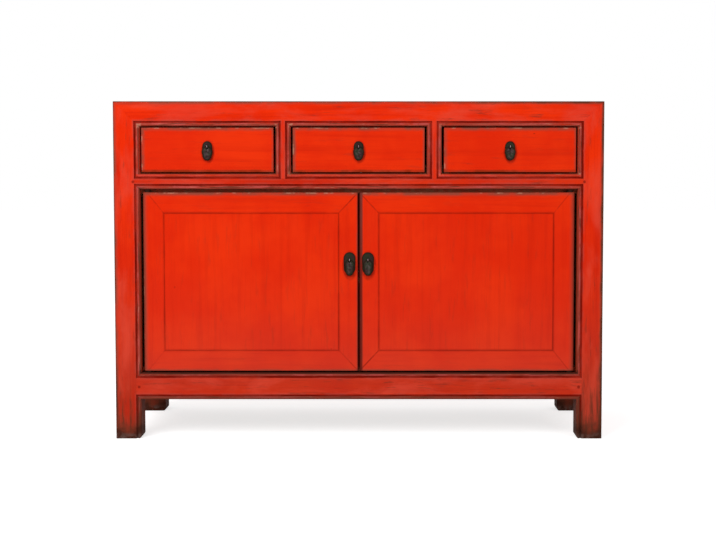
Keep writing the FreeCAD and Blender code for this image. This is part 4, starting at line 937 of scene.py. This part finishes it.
class Shell:
    """Collects rings of points and the faces between them into one mesh."""

    def __init__(self):
        self.points = []
        self.faces = []

    def loft(self, rings, closed=False):
        """Joins rings of as many points each. A closed loft has no ends, others get flat ones."""
        starts = []
        for ring in rings:
            starts.append(len(self.points))
            self.points += ring
        count = len(rings[0])
        pairs = list(zip(starts, starts[1:]))
        if closed:
            pairs.append((starts[-1], starts[0]))
        else:
            self.faces.append([starts[0] + step for step in range(count)])
            self.faces.append([starts[-1] + count - 1 - step for step in range(count)])
        for first, second in pairs:
            for step in range(count):
                after = (step + 1) % count
                self.faces.append([first + after, first + step, second + step, second + after])

    def tube(self, path, radius):
        """Round wire along points that lie in a level plane."""
        rings = []
        for index, point in enumerate(path):
            ahead = path[min(index + 1, len(path) - 1)] - path[max(index - 1, 0)]
            side = Vector((ahead.y, -ahead.x, 0.0)).normalized()
            ring = []
            for step in range(WIRE_SIDES):
                angle = 2.0 * math.pi * step / WIRE_SIDES
                ring.append(point + radius * (math.cos(angle) * side + math.sin(angle) * UPWARD))
            rings.append(ring)
        self.loft(rings)

    def piece(self, name, material, body, node, slot="pull_metal", outline=None):
        """Makes the piece, which stands for a solid and rides on its body.

        With an outline, its points keep how far inside of it they are.
        """
        mesh = bpy.data.meshes.new(name)
        mesh.from_pydata(self.points, [], self.faces)
        mesh.validate()
        mesh.materials.append(material)
        inwards = mesh.attributes.new("inwards", "FLOAT", "POINT")
        for (x, _, z), entry in zip(self.points, inwards.data):
            entry.value = -outline.distance(x - outline.x, z, 0.0) if outline else FAR_INSIDE
        item = bpy.data.objects.new(name, mesh)
        bpy.context.scene.collection.objects.link(item)
        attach(item, body)
        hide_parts(node)
        return item


def crown(share):
    """Height of a rounded crown, 0 at its edge and 1 from a share of 1 on."""
    return math.sqrt(1.0 - (1.0 - min(max(share, 0.0), 1.0)) ** 2)


def plate(name, egg, centre, material):
    """Back plate with a thin edge and a low crown."""
    reach = PLATE_SLOPE * min(egg.top_radius, egg.low_radius)
    levels = [(0.0, 0.0), (0.0, PLATE_EDGE)]
    for step in PLATE_STEPS:
        swell = crown(PLATE_ROUNDING * step)
        levels.append((step * reach, PLATE_EDGE + (PLATE_CROWN - PLATE_EDGE) * swell))
    rings = []
    for inset, height in levels:
        rings.append([(x, FACE - height, z) for x, z in egg.ring(centre, inset)])
    shell = Shell()
    shell.loft(rings)
    item = shell.piece(f"{name}_plate", material, name, f"{name}_pull_plate", outline=egg)
    item.data.shade_smooth()


def drop(name, egg, eye, material):
    """Hanging drop, domed in front, with the hole that the eye goes through."""
    centre = eye.z - DROP_RIM - DROP_HOLE
    hole = [(eye.x + DROP_HOLE * across, centre + DROP_HOLE * up) for across, up in turns()]
    edge = egg.ring(centre, 0.0)
    front = []
    back = []
    for share in DROP_STEPS:
        level_front = []
        level_back = []
        for (x, z), (hole_x, hole_z) in zip(edge, hole):
            across = x + share * (hole_x - x)
            up = z + share * (hole_z - z)
            to_edge = -egg.distance(across - egg.x, up, 0.0)
            to_hole = math.hypot(across - eye.x, up - centre) - DROP_HOLE
            swell = min(crown(to_edge / DROP_SLOPE), crown(to_hole / HOLE_SLOPE))
            level_front.append((across, eye.y - DROP_EDGE - (DROP_CROWN - DROP_EDGE) * swell, up))
            level_back.append((across, eye.y + DROP_EDGE + (DROP_BACK - DROP_EDGE) * swell, up))
        front.append(level_front)
        back.append(level_back)
    shell = Shell()
    shell.loft(front + back[::-1], closed=True)
    item = shell.piece(f"{name}_drop", material, f"{name}_pull", f"{name}_pull_drop", outline=egg)
    item.data.shade_smooth()


def eye_pin(name, eye, board_back, material):
    """Split pin: a round eye in front and two legs spread apart behind the board."""
    rings = []
    for turn in range(EYE_TURNS):
        swing = 2.0 * math.pi * turn / EYE_TURNS
        ring = []
        for step in range(EYE_SIDES):
            angle = 2.0 * math.pi * step / EYE_SIDES
            reach = EYE_RADIUS + WIRE * math.cos(angle)
            turned = (reach * math.cos(swing), reach * math.sin(swing))
            ring.append(eye + Vector((WIRE * math.sin(angle), *turned)))
        rings.append(ring)
    shell = Shell()
    shell.loft(rings, closed=True)
    for sign in (-1.0, 1.0):
        inside = eye.x + sign * LEG_WIRE
        path = [
            Vector((inside, FACE, eye.z)),
            Vector((inside, board_back - LEG_WIRE, eye.z)),
            Vector((eye.x + sign * 2.2 * LEG_WIRE, board_back + 0.8 * LEG_WIRE, eye.z)),
            Vector((eye.x + sign * 0.5 * CLINCH, board_back + LEG_WIRE, eye.z)),
            Vector((eye.x + sign * CLINCH, board_back + 0.6 * LEG_WIRE, eye.z)),
        ]
        shell.tube(path, LEG_WIRE)
    shell.piece(f"{name}_eye_pin", material, name, f"{name}_pull_pin").data.shade_smooth()


def back_planks():
    """Back panel as upright planks with eased edges, where its solid is."""
    low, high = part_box("back_panel")
    width = (high.x - low.x) / PLANKS
    shell = Shell()
    for count in range(PLANKS):
        left = low.x + count * width + PLANK_GAP / 2
        right = left + width - PLANK_GAP
        outline = [
            (left, low.y + PLANK_EASE), (left + PLANK_EASE, low.y), (right - PLANK_EASE, low.y),
            (right, low.y + PLANK_EASE), (right, high.y - PLANK_EASE), (right - PLANK_EASE, high.y),
            (left + PLANK_EASE, high.y), (left, high.y - PLANK_EASE),
        ]
        shell.loft([[(x, y, z) for x, y in outline[::-1]] for z in (low.z, high.z)])
    wood = bare_wood("wood_planks", "z", plank=width)
    shell.piece("back_planks", wood, "case", "back_panel", slot="bare_wood")


def pulls():
    """Drop pulls of the drawers and doors."""
    metal = patinated_metal("metal_pull")
    for name in (*DRAWERS, *DOORS):
        radii = PULL_RADII[name.split("_")[1]]
        board_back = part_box(f"{name}_meeting_stile")[1].y if name in DOORS else DRAWER_HIGH.y
        plate_low, plate_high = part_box(f"{name}_pull_plate")
        drop_low, drop_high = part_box(f"{name}_pull_drop")
        eye = Vector(((plate_low.x + plate_high.x) / 2, FACE - EYE_STANDOFF, drop_high.z))
        width = (plate_high.x - plate_low.x) / 2
        back = Egg(eye.x, plate_high.z, plate_low.z, width, radii["plate_low"])
        plate(name, back, eye.z, metal)
        low = drop_low.z + radii["lift"]
        drop(name, Egg(eye.x, drop_high.z, low, radii["drop_top"], radii["drop_low"]), eye, metal)
        eye_pin(name, eye, board_back, metal)


def studio():
    """Pale floor, white surroundings, two soft lamps and the camera."""
    world = bpy.data.worlds.new("studio")
    bpy.context.scene.world = world
    world.use_nodes = True
    tree = world.node_tree
    tree.nodes.clear()
    seen = shown_rays(tree)
    light = tree.nodes.new("ShaderNodeBackground")
    light.inputs["Strength"].default_value = WORLD_LIGHT
    white = tree.nodes.new("ShaderNodeBackground")
    choice = tree.nodes.new("ShaderNodeMixShader")
    output = tree.nodes.new("ShaderNodeOutputWorld")
    for shader in (light, white):
        shader.inputs["Color"].default_value = (1.0, 1.0, 1.0, 1.0)
    tree.links.new(seen, choice.inputs[0])
    tree.links.new(light.outputs[0], choice.inputs[1])
    tree.links.new(white.outputs[0], choice.inputs[2])
    tree.links.new(choice.outputs[0], output.inputs[0])

    mesh = bpy.data.meshes.new("floor")
    far = FLOOR_REACH
    corners = [(-far, -far, 0.0), (far, -far, 0.0), (far, far, 0.0), (-far, far, 0.0)]
    mesh.from_pydata(corners, [], [(0, 1, 2, 3)])
    floor = bpy.data.objects.new("floor", mesh)
    bpy.context.scene.collection.objects.link(floor)
    mesh.materials.append(floor_paint())

    lamp("key", place=(-2.0, -2.9, 2.7), target=(0.0, 0.0, 0.5), power=KEY_POWER)
    lamp("fill", place=(2.6, -3.4, 1.6), target=(0.0, 0.0, 0.4), power=FILL_POWER)

    view = bpy.data.cameras.new("camera")
    view.lens = LENS
    view.shift_x = SHIFT_X
    view.shift_y = SHIFT_Y
    camera = bpy.data.objects.new("camera", view)
    camera.location = CAMERA_PLACE
    camera.rotation_euler = (math.radians(90.0 - CAMERA_DIP), 0.0, 0.0)
    bpy.context.scene.collection.objects.link(camera)
    bpy.context.scene.camera = camera
    bpy.context.scene.view_settings.view_transform = "Standard"


def shown_rays(tree):
    """1 for rays that show the surroundings: to the camera, in gloss and through glass."""
    path = tree.nodes.new("ShaderNodeLightPath")
    share = path.outputs["Is Camera Ray"]
    for name in ("Is Glossy Ray", "Is Transmission Ray"):
        either = tree.nodes.new("ShaderNodeMath")
        either.operation = "MAXIMUM"
        tree.links.new(share, either.inputs[0])
        tree.links.new(path.outputs[name], either.inputs[1])
        share = either.outputs[0]
    return share


def floor_paint():
    """White floor that keeps a faint shadow."""
    material = bpy.data.materials.new("floor")
    material.use_nodes = True
    tree = material.node_tree
    tree.nodes.clear()
    matt = tree.nodes.new("ShaderNodeBsdfDiffuse")
    matt.inputs["Color"].default_value = (FLOOR_GREY, FLOOR_GREY, FLOOR_GREY, 1.0)
    glow = tree.nodes.new("ShaderNodeEmission")
    glow.inputs["Strength"].default_value = FLOOR_GLOW
    bright = tree.nodes.new("ShaderNodeAddShader")
    choice = tree.nodes.new("ShaderNodeMixShader")
    output = tree.nodes.new("ShaderNodeOutputMaterial")
    tree.links.new(matt.outputs[0], bright.inputs[0])
    tree.links.new(glow.outputs[0], bright.inputs[1])
    tree.links.new(shown_rays(tree), choice.inputs[0])
    tree.links.new(matt.outputs[0], choice.inputs[1])
    tree.links.new(bright.outputs[0], choice.inputs[2])
    tree.links.new(choice.outputs[0], output.inputs[0])
    return material


def lamp(name, place, target, power):
    """Square soft lamp that shines towards a target."""
    light = bpy.data.lights.new(name, "AREA")
    light.size = LAMP_SIZE
    light.energy = power
    item = bpy.data.objects.new(name, light)
    item.location = place
    aim = Vector(target) - Vector(place)
    item.rotation_euler = aim.to_track_quat("-Z", "Y").to_euler()
    bpy.context.scene.collection.objects.link(item)


dress_all()
pulls()
back_planks()
studio()
